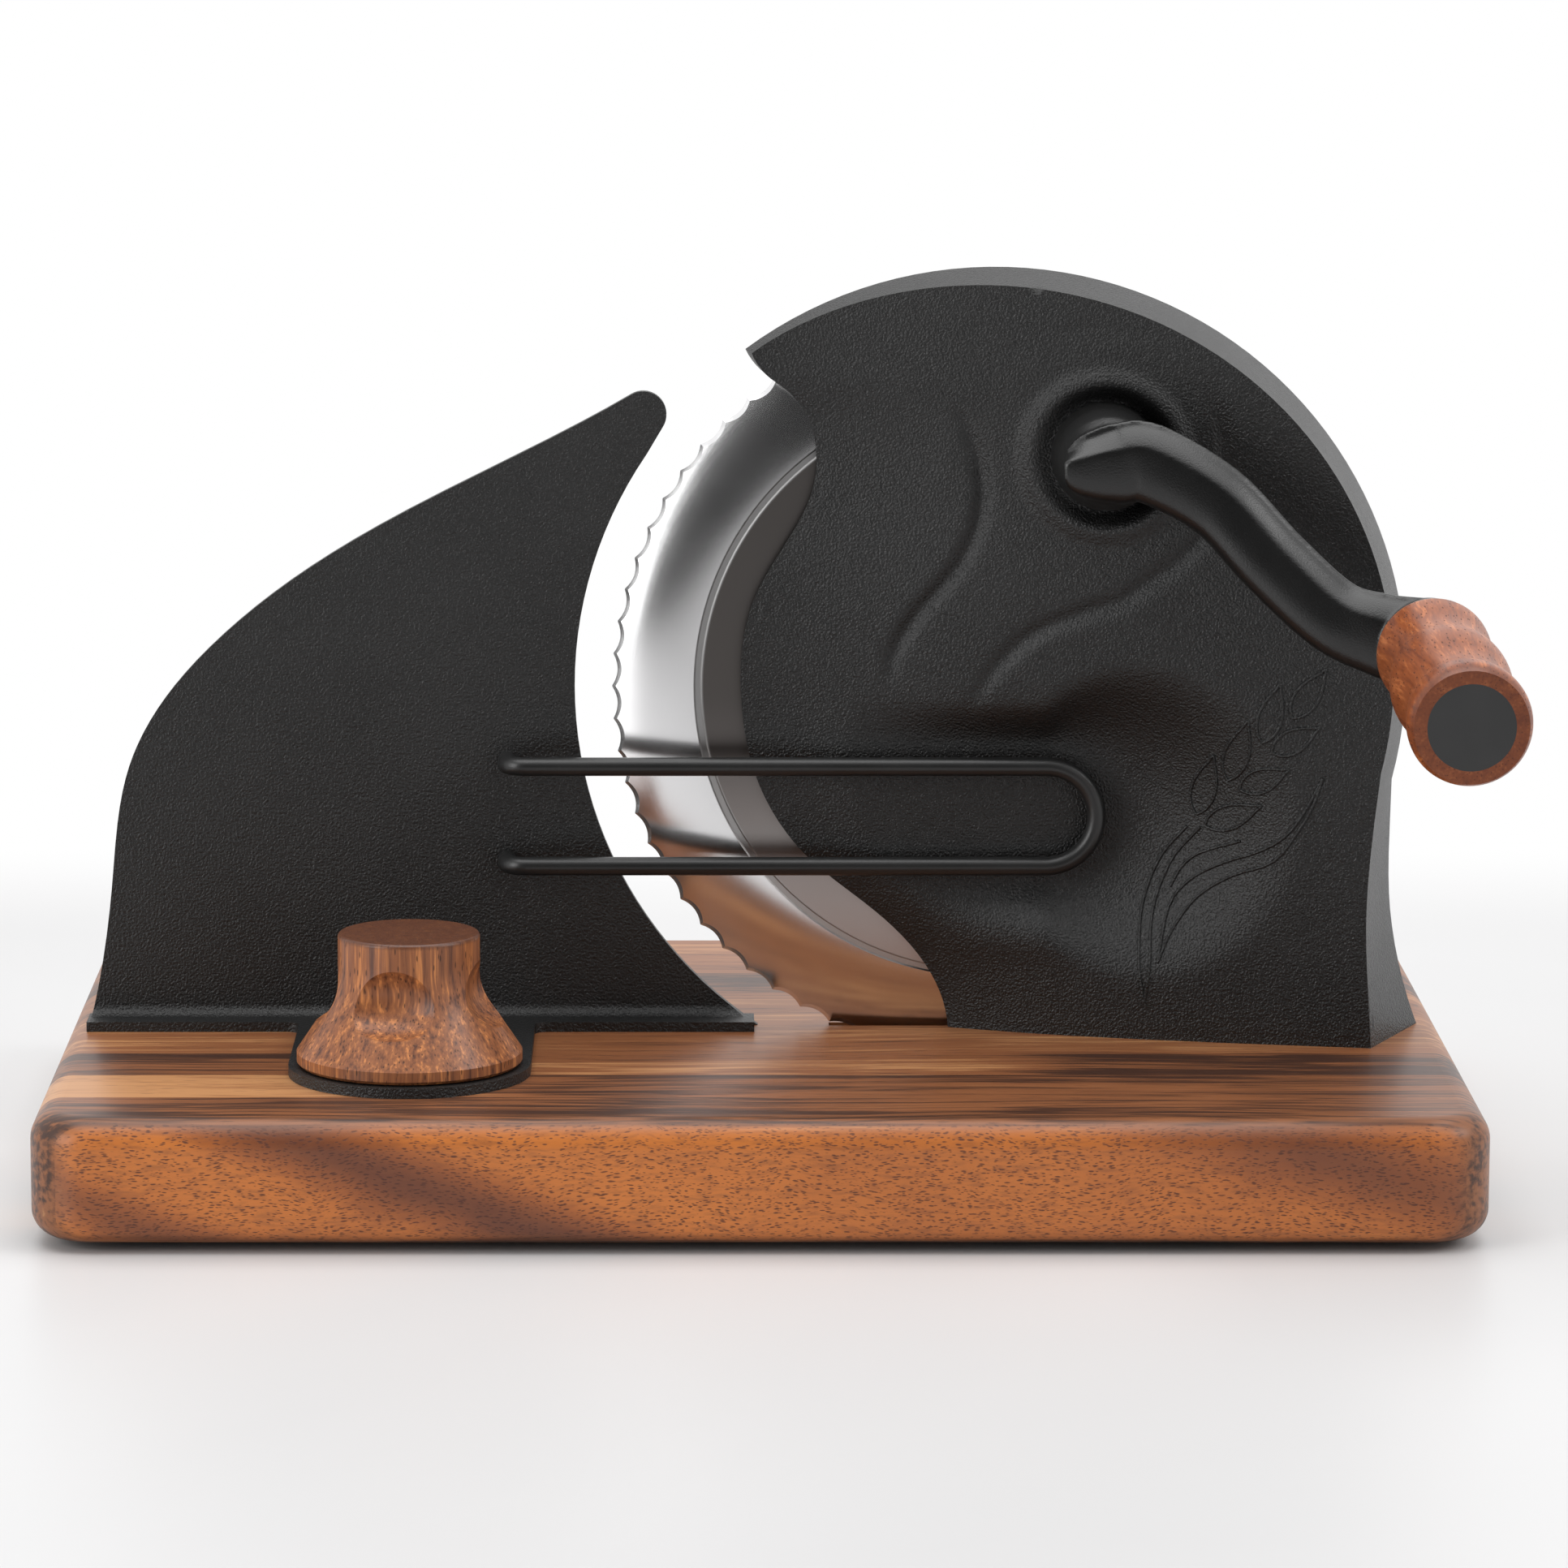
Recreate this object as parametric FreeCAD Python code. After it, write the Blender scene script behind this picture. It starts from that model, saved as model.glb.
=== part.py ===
import FreeCAD, Part
import math
import os

# Bread slicer with a hand crank.
# Working frame: X to the right along the board, Y towards the back, Z up from the table,
# with X = Y = 0 at the middle of the board. The finished pieces are moved once, at the
# end, so that the origin is the bottom centre of the whole slicer.

Vector = FreeCAD.Vector
X_AXIS = Vector(1, 0, 0)
Y_AXIS = Vector(0, 1, 0)
Z_AXIS = Vector(0, 0, 1)
FORWARD = Vector(0, -1, 0)
DOWN = Vector(0, 0, -1)

# ---------------------------------------------------------------- driving sizes, in mm

# fits and clearances
FIT = 0.05
RUNNING_FIT = 0.04
SLIDE_FIT = 0.1
LOOSE_FIT = 0.3
PAST = 1.0

# board and feet
BOARD_LENGTH = 360.0
BOARD_DEPTH = 236.0
BOARD_THICKNESS = 31.5
BOARD_CORNER_R = 16.0
BOARD_EDGE_R = 7.0
FOOT_HEIGHT = 2.0
FOOT_R = 9.0
FOOT_TAPER = 1.0
FOOT_RECESS = 2.5
FOOT_INSET = 26.0
FOOT_SCREW_R = 1.8
FOOT_SCREW_HEAD_R = 3.4
FOOT_SCREW_LENGTH = 16.0

# blade, turning about a line along Y
BLADE_R = 98.0
BLADE_THICKNESS = 1.2
BLADE_EDGE_THICKNESS = 0.4
BLADE_TEETH = 72
TOOTH_DEPTH = 1.3
TOOTH_LAND = 0.3
GRIND_TILT = 65.0
GRIND_BEFORE = 3.0
GRIND_AFTER = 6.0
BLADE_X = 60.7
BLADE_SINK = 8.6
BLADE_BACK_Y = -0.4
BEVEL_WIDTH = 21.1
GROOVE_WIDTH = 2.1
GROOVE_DEPTH = 0.35
GROOVE_SLOPE = 0.4
BLADE_BORE_R = 8.0
BLADE_SCREW_PCD_R = 13.5
BLADE_SCREW_COUNT = 3
BLADE_SCREW_R = 1.5
BLADE_SCREW_HEAD_R = 2.7
BLADE_SCREW_HEAD_HEIGHT = 1.2
BLADE_SLOT_WIDTH = 4.0
BLADE_SLOT_GAP = 1.4
BLADE_SLOT_FLOOR_GAP = 3.0

# gear pair
MODULE = 1.5
DRIVE_TEETH = 39
BLADE_GEAR_TEETH = 52
DRIVE_GEAR_WIDTH = 3.2
BLADE_GEAR_WIDTH = 2.8
PRESSURE_ANGLE = 20.0
BACKLASH = 0.16
ROOT_CLEARANCE = 0.25
CRANK_DIRECTION = 65.7
GEAR_BACK_GAP = 1.0
GEAR_SIDE_GAP = 0.3
GEAR_RIM = 3.0
GEAR_HUB_WALL = 6.0
LIGHTENING_HOLES = 6

# axle of the blade
AXLE_R = 5.0
AXLE_PROUD = 0.2
BUSH_WALL = 1.5
AXLE_BOSS_WALL = 4.0
AXLE_SCREW_R = 2.0
AXLE_SCREW_LENGTH = 8.7
AXLE_WASHER_R = 7.5
AXLE_WASHER_THICKNESS = 1.2
AXLE_SCREW_HEAD_R = 4.4
AXLE_SCREW_HEAD_HEIGHT = 2.2
AXLE_SCREW_SLOT = 1.2

# housing
RIM_WALL = 9.4
RIM_DX = 0.4
RIM_DZ = 1.4
RIM_NARROWING = 12.7
RIM_FRONT_DX = 5.7
RIM_FRONT_DZ = 6.2
RIM_END_ANGLE = -14.0
BEAK_ANGLE = 126.6
BEAK_BULGE = 0.9
DRAFT_DEPTH = 36.0
HOUSING_WALL = 2.0
HOUSING_FLOOR = 3.0
BLADE_CLEARANCE = 2.0
BLADE_CHAMBER_DEPTH = 2.8
CHAMBER_DRAFT = 2.6
TOE_DX = -10.5
FACE_EDGE_DEPTH = 4.8
FACE_SLOPE = 0.162
FACE_DEPTH_AT_TOE = 14.2
FACE_ROLL = 22.0
FACE_GRID = 6.5
BOSS_CREST_R = 19.5
BOSS_BLEND = 11.0
BOSS_PROUD = 3.2
BOSS_RECESS_R = 16.4
BOSS_RECESS_DEPTH = 2.2
BOSS_LIP_R = 1.6
BUSH_PLATE = 7.0
CRANK_BOSS_WALL = 4.0
RIB_LENGTH = 30.0
RIB_THICKNESS = 2.0
RIB_GAP = 0.6
SIDE_WALL = 4.5
REAR_COVER_THICKNESS = 2.0
REAR_LEDGE = 2.2
NEAR_SCREW_DX = 29.3
NEAR_SCREW_Y = -9.4
MID_SCREW_DX = 63.3
FAR_SCREW_INSET = 17.9
FAR_SCREW_Y = -14.0
HOUSING_SCREW_R = 2.4
HOUSING_BOSS_R = 4.6
HOUSING_BOSS_HEIGHT = 18.0
HOUSING_SCREW_HEAD_R = 4.6
HOUSING_SCREW_HEAD_HEIGHT = 3.0
HOUSING_SCREW_REACH = 13.0
HOUSING_SCREW_DEPTH = 15.0
HEAD_POCKET_DEPTH = 14.0
HEAD_POCKET_GAP = 1.4
SOCKET_R = 2.0
SOCKET_DEPTH = 1.8
SCREW_WASHER_THICKNESS = 1.2
SCREW_WASHER_OVERLAP = 1.0
COVER_SCREW_R = 1.5
COVER_SCREW_HEAD_R = 2.8
COVER_SCREW_LENGTH = 10.0
COVER_BOSS_R = 4.2

# crank
SHAFT_R = 5.0
FLAT_DEPTH = 1.0
SHAFT_TIP_GAP = 8.0
HUB_BASE_R = 14.4
HUB_FRONT_R = 11.6
HUB_FRONT_Y = -45.0
HUB_NOSE_R = 5.5
HUB_TAPER_Y = -34.0
HUB_GAP = 0.6
SET_SCREW_R = 2.0
CRANK_REACH_X = 78.8
CRANK_DROP = 43.1
ARM_THICKNESS = 11.0
ARM_SQUARENESS = 2.6
END_BOSS_BACK_Y = -52.0
END_BOSS_EDGE_R = 9.0
END_BOSS_R = 12.8

# grip
GRIP_SEAT_Y = -66.0
GRIP_LENGTH = 85.6
GRIP_DROOP = 3.5
GRIP_BACK_R = 14.3
GRIP_SWELL_R = 14.8
GRIP_FRONT_R = 15.0
GRIP_WAIST_R = 13.0
GRIP_END_EDGE = 1.2
GRIP_BULGE_AT = 4.6
GRIP_WAIST_AT = 22.3
GRIP_GAP = 0.4
GRIP_PIN_R = 4.0
GRIP_PIN_HEAD_R = 6.5
GRIP_PIN_HEAD_HEIGHT = 3.0
GRIP_PIN_ENGAGEMENT = 10.0
GRIP_CAP_R = 10.6
GRIP_CAP_THICKNESS = 2.5
GRIP_HEAD_ROOM = 1.0
GRIP_BUSH_WALL = 1.5

# fence
PLATE_THICKNESS = 2.5
PLATE_FRONT_Y = -2.3
FENCE_CLEARANCE = 9.7
FENCE_TIP_ANGLE = 141.74
FENCE_TIP_OUT = 6.8
FENCE_TIP_R = 6.0
FENCE_BACK_LEAN = 31.5
FENCE_NOSE_TURN = 63.5
FENCE_NECK_TURN = 4.0
FLANGE_THICKNESS = 2.6
FLANGE_DEPTH = 8.9
FLANGE_LEFT_X = -174.0
FLANGE_RIGHT_X = -0.4
BEND_R = 3.0
TAB_R = 30.6
KNOB_X = -88.0
KNOB_Y = -61.0

# slice thickness setting
TRAVEL = 16.0
SLOT_WIDTH = 8.6
SLOT_END_GAP = 1.0
CHANNEL_WIDTH = 19.0
CHANNEL_ROOF = 14.0
BOLT_R = 4.0
BOLT_NECK = 8.0
BOLT_NECK_GAP = 3.0
BOLT_HEAD = 18.0
BOLT_HEAD_HEIGHT = 4.0
BOLT_REST_GAP = 0.3
BOLT_TIP_GAP = 2.0
KEY_LENGTH = 16.0
KEY_DEPTH = 8.0
KEY_CENTRE_Y = -40.0
KEY_SCREW_R = 1.5
KEY_SCREW_HEAD_R = 2.8
KEY_SCREW_SPACING = 8.0

# clamping knob
KNOB_BASE_R = 28.5
KNOB_TOP_R = 17.9
KNOB_HEIGHT = 33.4
KNOB_RIM = 3.2
KNOB_FOOT_EDGE = 0.8
KNOB_FLARE_ANGLE = 33.7
KNOB_NECK_R = 26.2
KNOB_EDGE_R = 1.0
SCOOPS = 4
SCOOP_R = 10.0
SCOOP_BARREL_R = 44.0
SCOOP_HALF_LENGTH = 14.0
SCOOP_CENTRE_R = 25.4
SCOOP_CENTRE_HEIGHT = 20.0
SCOOP_TURN = 10.0
INSERT_R = 6.5
INSERT_LENGTH = 16.0
WASHER_R = 12.0
WASHER_THICKNESS = 1.0
WASHER_RECESS_GAP = 0.6

# wire guard
WIRE_R = 2.4
WIRE_X = -64.6
WIRE_Y = -12.0
WIRE_UPPER_HEIGHT = 70.1
WIRE_LOWER_HEIGHT = 44.0
WIRE_END_X = 87.9
WIRE_BEND_R = 5.0
WIRE_POCKET_CLEARANCE = 1.3
WIRE_POCKET_MARGIN = 2.6
WIRE_POCKET_BLEND = 14.0

# ---------------------------------------------------------------- worked out from them

BOARD_TOP = FOOT_HEIGHT + BOARD_THICKNESS
BLADE_AXIS_HEIGHT = BLADE_R - BLADE_SINK
BLADE_Z = BOARD_TOP + BLADE_AXIS_HEIGHT
BLADE_FRONT_Y = BLADE_BACK_Y - BLADE_THICKNESS
BEVEL_INNER_R = BLADE_R - BEVEL_WIDTH
GROOVE_INNER_R = BEVEL_INNER_R - GROOVE_WIDTH
CHAMBER_R = BLADE_R + BLADE_CLEARANCE

CENTRE_DISTANCE = MODULE * (DRIVE_TEETH + BLADE_GEAR_TEETH) / 2
CRANK_X = BLADE_X + CENTRE_DISTANCE * math.cos(math.radians(CRANK_DIRECTION))
CRANK_Z = BLADE_Z + CENTRE_DISTANCE * math.sin(math.radians(CRANK_DIRECTION))
GRIP_X = CRANK_X + CRANK_REACH_X
GRIP_Z = CRANK_Z - CRANK_DROP
GEAR_BACK_Y = BLADE_FRONT_Y - GEAR_BACK_GAP
BLADE_GEAR_FRONT_Y = GEAR_BACK_Y - BLADE_GEAR_WIDTH

RIM_R = BLADE_R + RIM_WALL
RIM_X = BLADE_X + RIM_DX
RIM_Z = BLADE_Z + RIM_DZ
RIM_FRONT_R = RIM_R - RIM_NARROWING
RIM_FRONT_X = BLADE_X + RIM_FRONT_DX
RIM_FRONT_Z = BLADE_Z + RIM_FRONT_DZ
TOE_X = BLADE_X + TOE_DX

WIRE_UPPER_Z = BOARD_TOP + WIRE_UPPER_HEIGHT
WIRE_LOWER_Z = BOARD_TOP + WIRE_LOWER_HEIGHT
WIRE_MID_Z = (WIRE_UPPER_Z + WIRE_LOWER_Z) / 2
WIRE_LOOP_R = (WIRE_UPPER_Z - WIRE_LOWER_Z) / 2
WIRE_LOOP_X = WIRE_END_X - WIRE_LOOP_R
WIRE_POCKET_DEPTH = -WIRE_Y - WIRE_R - WIRE_POCKET_CLEARANCE

PLATE_BACK_Y = PLATE_FRONT_Y + PLATE_THICKNESS
FENCE_ARC_R = BLADE_R + FENCE_CLEARANCE
FLANGE_FRONT_Y = PLATE_FRONT_Y - FLANGE_DEPTH
TAB_TOP = BOARD_TOP + FLANGE_THICKNESS


# ---------------------------------------------------------------- helpers

def cylinder(radius, length, base, direction):
    return Part.makeCylinder(radius, length, base, direction)


def along_y(radius, x, z, y_from, y_to):
    """A cylinder about a line along Y, between two Y values."""
    back = Vector(x, max(y_from, y_to), z)
    return cylinder(radius, abs(y_to - y_from), back, FORWARD)


def block(x0, x1, y0, y1, z0, z1):
    return Part.makeBox(x1 - x0, y1 - y0, z1 - z0, Vector(x0, y0, z0))


def joined(shapes):
    """One solid from touching or overlapping shapes."""
    return shapes[0].fuse(shapes[1:]).removeSplitter()


def on_circle(x, z, radius, degrees, y=0.0):
    turn = math.radians(degrees)
    return Vector(x + radius * math.cos(turn), y, z + radius * math.sin(turn))


def line(a, b):
    return Part.LineSegment(a, b).toShape()


def arc(a, through, b):
    return Part.Arc(a, through, b).toShape()


def arc_about(x, z, radius, start, end, y):
    """An arc in a plane of constant Y, from one angle to the other, in degrees."""
    angles = (start, (start + end) / 2, end)
    return arc(*[on_circle(x, z, radius, angle, y) for angle in angles])


def smooth(points):
    curve = Part.BSplineCurve()
    curve.interpolate(points)
    return curve.toShape()


def turned(edges, centre, axis):
    """A solid of revolution from the edges of half a cross-section."""
    return Part.Face(Part.Wire(edges)).revolve(centre, axis, 360)


def turned_y(profile, x, z):
    """A solid of revolution about a line along Y, from (radius, y) corners."""
    corners = [Vector(x + radius, y, z) for radius, y in profile]
    edges = [line(a, b) for a, b in zip(corners, corners[1:] + corners[:1])]
    return turned(edges, Vector(x, 0, z), Y_AXIS)


def tube_y(outer, inner, x, z, y_from, y_to):
    return along_y(outer, x, z, y_from, y_to).cut(along_y(inner, x, z, y_from, y_to))


def countersunk_screw(radius, head_radius, length, tip, direction):
    """A screw whose head is flush: tip is the centre of the head's flat face."""
    head = Part.makeCone(head_radius, radius, head_radius - radius, tip, direction)
    return joined([head, cylinder(radius, length, tip, direction)])


parts = {}


def keep(name, *solids):
    """One node of the slicer: a piece, or a group of like pieces."""
    parts[name] = solids[0] if len(solids) == 1 else Part.makeCompound(list(solids))


# ---------------------------------------------------------------- outlines of the housing

# The cut-away edge from above its toe to below its beak: (how far it lies inside the blade's
# cutting edge, angle about the blade's axis).
CUTAWAY = [
    (21.8, 258.4), (32.5, 242.3), (33.2, 222.6), (33.0, 202.2), (33.3, 179.1), (32.4, 160.9),
    (32.8, 145.2), (28.5, 131.8), (17.4, 124.9), (0.7, 125.1),
]
# The waist on the right, from the outermost point of the rim: (x, height above the board).
WAIST = [(-3.5, 51.0), (-3.3, 34.0), (-0.5, 16.0), (4.4, 0.0)]
WAIST_FRONT = [(-5.5, 50.0), (-6.5, 34.0), (-6.1, 16.0), (-5.5, 0.0)]
FOOT_RIGHT_X = RIM_X + RIM_R + WAIST[-1][0]


def cutaway_curve(y):
    points = [Vector(TOE_X, y, BOARD_TOP)]
    points += [on_circle(BLADE_X, BLADE_Z, BLADE_R - inside, at, y) for inside, at in CUTAWAY]
    return smooth(points)


CUTAWAY_SAMPLES = cutaway_curve(0).discretize(120)


def cutaway_x(z):
    """X of the cut-away edge at a height, held constant past its two ends."""
    if z <= CUTAWAY_SAMPLES[0].z:
        return CUTAWAY_SAMPLES[0].x
    for low, high in zip(CUTAWAY_SAMPLES, CUTAWAY_SAMPLES[1:]):
        if z <= high.z:
            return low.x + (high.x - low.x) * (z - low.z) / (high.z - low.z)
    return CUTAWAY_SAMPLES[-1].x


def soft_step(value):
    """0 below 0, 1 above 1, with a smooth ramp between."""
    value = min(1.0, max(0.0, value))
    return value * value * (3 - 2 * value)


def slope_depth(x):
    return FACE_DEPTH_AT_TOE + FACE_SLOPE * (x - TOE_X)


CRANK_FACE = slope_depth(CRANK_X)
BOSS_FRONT_Y = -CRANK_FACE - BOSS_PROUD


def plain_depth(x, z):
    """How far the housing's front face stands in front of Y = 0, without its boss.

    The face slopes forward to the right, so that the slices slide off, rolls back to the
    blade along the cut-away edge and has a shallow pocket where the wire guard lies.
    """
    from_edge = max(x - cutaway_x(z), -FACE_ROLL / 3)
    rise = slope_depth(x) - FACE_EDGE_DEPTH
    depth = FACE_EDGE_DEPTH + rise * (1 - math.exp(-from_edge / FACE_ROLL))
    from_wire = math.hypot(max(x - WIRE_LOOP_X, 0.0), z - WIRE_MID_Z)
    pocket_r = WIRE_LOOP_R + WIRE_R + WIRE_POCKET_MARGIN
    pocket = 1 - soft_step((from_wire - pocket_r) / WIRE_POCKET_BLEND)
    return depth - pocket * max(depth - WIRE_POCKET_DEPTH, 0.0)


def face_depth(x, z):
    """The plain face with the crank's boss, whose flank runs out softly into it."""
    depth = plain_depth(x, z)
    from_crank = math.hypot(x - CRANK_X, z - CRANK_Z)
    flank = 1 - soft_step((from_crank - BOSS_CREST_R) / BOSS_BLEND)
    return depth + flank * max(-BOSS_FRONT_Y - depth, 0.0)


def behind(depth, grid):
    """Everything from a smooth surface, that far in front of Y = 0, to well past the back."""
    x0, x1 = BLADE_X - RIM_R + grid, FOOT_RIGHT_X + 2 * grid
    z0, z1 = BOARD_TOP - 2 * grid, RIM_Z + RIM_R + 2 * grid
    across = math.ceil((x1 - x0) / grid) + 1
    upward = math.ceil((z1 - z0) / grid) + 1
    rows = []
    for i in range(across):
        x = x0 + i * grid
        heights = [z0 + j * grid for j in range(upward)]
        rows.append([Vector(x, -depth(x, z), z) for z in heights])
    surface = Part.BSplineSurface()
    surface.interpolate(rows)
    return surface.toShape().extrude(Vector(0, 2 * DRAFT_DEPTH, 0))


def housing_wire(y, rim_x, rim_z, rim_r, waist):
    """The housing's outline at one depth: rim, waist, foot, cut-away edge and beak."""
    end = on_circle(rim_x, rim_z, rim_r, RIM_END_ANGLE, y)
    side = [end] + [Vector(rim_x + rim_r + dx, y, BOARD_TOP + height) for dx, height in waist]
    beak = on_circle(rim_x, rim_z, rim_r, BEAK_ANGLE, y)
    edge = cutaway_curve(y)
    toe, throat = edge.Vertexes[0].Point, edge.Vertexes[-1].Point
    outward = (beak - throat).cross(Y_AXIS).normalize()
    bulge = (throat + beak) / 2 + outward * BEAK_BULGE
    return Part.Wire([
        arc_about(rim_x, rim_z, rim_r, BEAK_ANGLE, RIM_END_ANGLE, y),
        smooth(side), line(side[-1], toe), edge, arc(throat, bulge, beak),
    ])


def foot_outline(inset, y=0.0, dx=0.0):
    """The housing's outline to the right of the blade's axis, inset from its back edge."""
    rim_right = RIM_X + RIM_R + dx
    top = BLADE_Z - RIM_R / 8
    corners = [(BLADE_X, BOARD_TOP + inset), (rim_right + WAIST[-1][0] - inset, BOARD_TOP + inset)]
    corners += [(rim_right + x - inset, BOARD_TOP + height) for x, height in WAIST[-2::-1]]
    corners += [(rim_right - inset - 1.0, top), (BLADE_X, top)]
    points = [Vector(x, y, z) for x, z in corners]
    return Part.makePolygon(points + points[:1])


# ---------------------------------------------------------------- base: board and feet

FOOT_DX = BOARD_LENGTH / 2 - FOOT_INSET
FOOT_DY = BOARD_DEPTH / 2 - FOOT_INSET
FOOT_PLACES = [(-FOOT_DX, -FOOT_DY), (-FOOT_DX, FOOT_DY), (FOOT_DX, -FOOT_DY), (FOOT_DX, FOOT_DY)]
HOUSING_SCREW_PLACES = [
    (BLADE_X + NEAR_SCREW_DX, NEAR_SCREW_Y), (BLADE_X + MID_SCREW_DX, FAR_SCREW_Y),
    (FOOT_RIGHT_X - FAR_SCREW_INSET, FAR_SCREW_Y),
]
HEAD_POCKET_TOP = BOARD_TOP - HEAD_POCKET_DEPTH
SLOT_BACK_Y = KEY_CENTRE_Y + KEY_LENGTH / 2 + SLOT_END_GAP
SLOT_FRONT_Y = KNOB_Y - TRAVEL - BOLT_NECK / 2 - SLOT_END_GAP
CHANNEL_BACK_Y = KNOB_Y + BOLT_HEAD / 2 + SLOT_END_GAP
CHANNEL_FRONT_Y = KNOB_Y - TRAVEL - BOLT_HEAD / 2 - SLOT_END_GAP


def make_board():
    half_x, half_y = BOARD_LENGTH / 2, BOARD_DEPTH / 2
    board = block(-half_x, half_x, -half_y, half_y, FOOT_HEIGHT, BOARD_TOP)
    uprights = [e for e in board.Edges if abs(e.tangentAt(e.FirstParameter).z) > 0.9]
    board = board.makeFillet(BOARD_CORNER_R, uprights)
    rims = [e for e in board.Edges if e.BoundBox.ZLength < FIT]
    board = board.makeFillet(BOARD_EDGE_R, rims)

    chord = math.sqrt(BLADE_R ** 2 - BLADE_AXIS_HEIGHT ** 2) + BLADE_SLOT_GAP
    slot_y = (BLADE_BACK_Y + BLADE_FRONT_Y) / 2
    floor_z = BOARD_TOP - BLADE_SINK - BLADE_SLOT_FLOOR_GAP
    half = BLADE_SLOT_WIDTH / 2
    cuts = [block(BLADE_X - chord, BLADE_X + chord, slot_y - half, slot_y + half, floor_z, BOARD_TOP + PAST)]

    half = SLOT_WIDTH / 2
    cuts.append(block(KNOB_X - half, KNOB_X + half, SLOT_FRONT_Y, SLOT_BACK_Y, 0, BOARD_TOP + PAST))
    half = CHANNEL_WIDTH / 2
    roof = BOARD_TOP - CHANNEL_ROOF
    cuts.append(block(KNOB_X - half, KNOB_X + half, CHANNEL_FRONT_Y, CHANNEL_BACK_Y, 0, roof))

    for x, y in FOOT_PLACES:
        underside = Vector(x, y, FOOT_HEIGHT)
        cuts.append(cylinder(FOOT_R + FIT, FOOT_RECESS, underside, Z_AXIS))
        cuts.append(cylinder(FOOT_SCREW_R + FIT, FOOT_SCREW_LENGTH, underside, Z_AXIS))
    for x, y in HOUSING_SCREW_PLACES:
        below = Vector(x, y, 0)
        cuts.append(cylinder(HOUSING_SCREW_R + LOOSE_FIT, BOARD_TOP + PAST, below, Z_AXIS))
        cuts.append(cylinder(HOUSING_SCREW_HEAD_R + HEAD_POCKET_GAP, HEAD_POCKET_TOP, below, Z_AXIS))
    return board.cut(cuts)


def make_feet():
    feet, screws = [], []
    for x, y in FOOT_PLACES:
        lower = Part.makeCone(FOOT_R - FOOT_TAPER, FOOT_R, FOOT_HEIGHT, Vector(x, y, 0), Z_AXIS)
        upper = cylinder(FOOT_R, FOOT_RECESS, Vector(x, y, FOOT_HEIGHT), Z_AXIS)
        sunk = Vector(x, y, FOOT_HEIGHT / 2)
        screw = countersunk_screw(FOOT_SCREW_R, FOOT_SCREW_HEAD_R, FOOT_SCREW_LENGTH, sunk, Z_AXIS)
        mouth = cylinder(FOOT_SCREW_HEAD_R, FOOT_HEIGHT / 2, Vector(x, y, 0), Z_AXIS)
        feet.append(joined([lower, upper]).cut([screw, mouth]))
        screws.append(screw)
    return feet, screws


# ---------------------------------------------------------------- base: housing

HUB_SEAT_Y = BOSS_FRONT_Y + BOSS_RECESS_DEPTH
BUSH_R = SHAFT_R + RUNNING_FIT + BUSH_WALL
BUSH_BACK_Y = GEAR_BACK_Y - DRIVE_GEAR_WIDTH - GEAR_SIDE_GAP
AXLE_BOSS_BACK_Y = BLADE_GEAR_FRONT_Y - GEAR_SIDE_GAP
AXLE_FRONT_Y = -plain_depth(BLADE_X, BLADE_Z) + HOUSING_WALL


def chamber_x(height):
    """X of the blade chamber's right edge at a height above the board."""
    return BLADE_X + math.sqrt(CHAMBER_R ** 2 - (BLADE_AXIS_HEIGHT - height) ** 2)


# Where the rear cover is screwed on: low beside the blade, in the foot's corner, in the waist.
COVER_SCREW_HEIGHTS = (8.6, 12.0, 44.0)
COVER_SCREW_PLACES = [
    (chamber_x(COVER_SCREW_HEIGHTS[0]) + COVER_BOSS_R + FIT, COVER_SCREW_HEIGHTS[0]),
    (FOOT_RIGHT_X - 5 * COVER_BOSS_R, COVER_SCREW_HEIGHTS[1]),
    ((chamber_x(COVER_SCREW_HEIGHTS[2]) + RIM_X + RIM_R + WAIST[0][0]) / 2, COVER_SCREW_HEIGHTS[2]),
]


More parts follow.
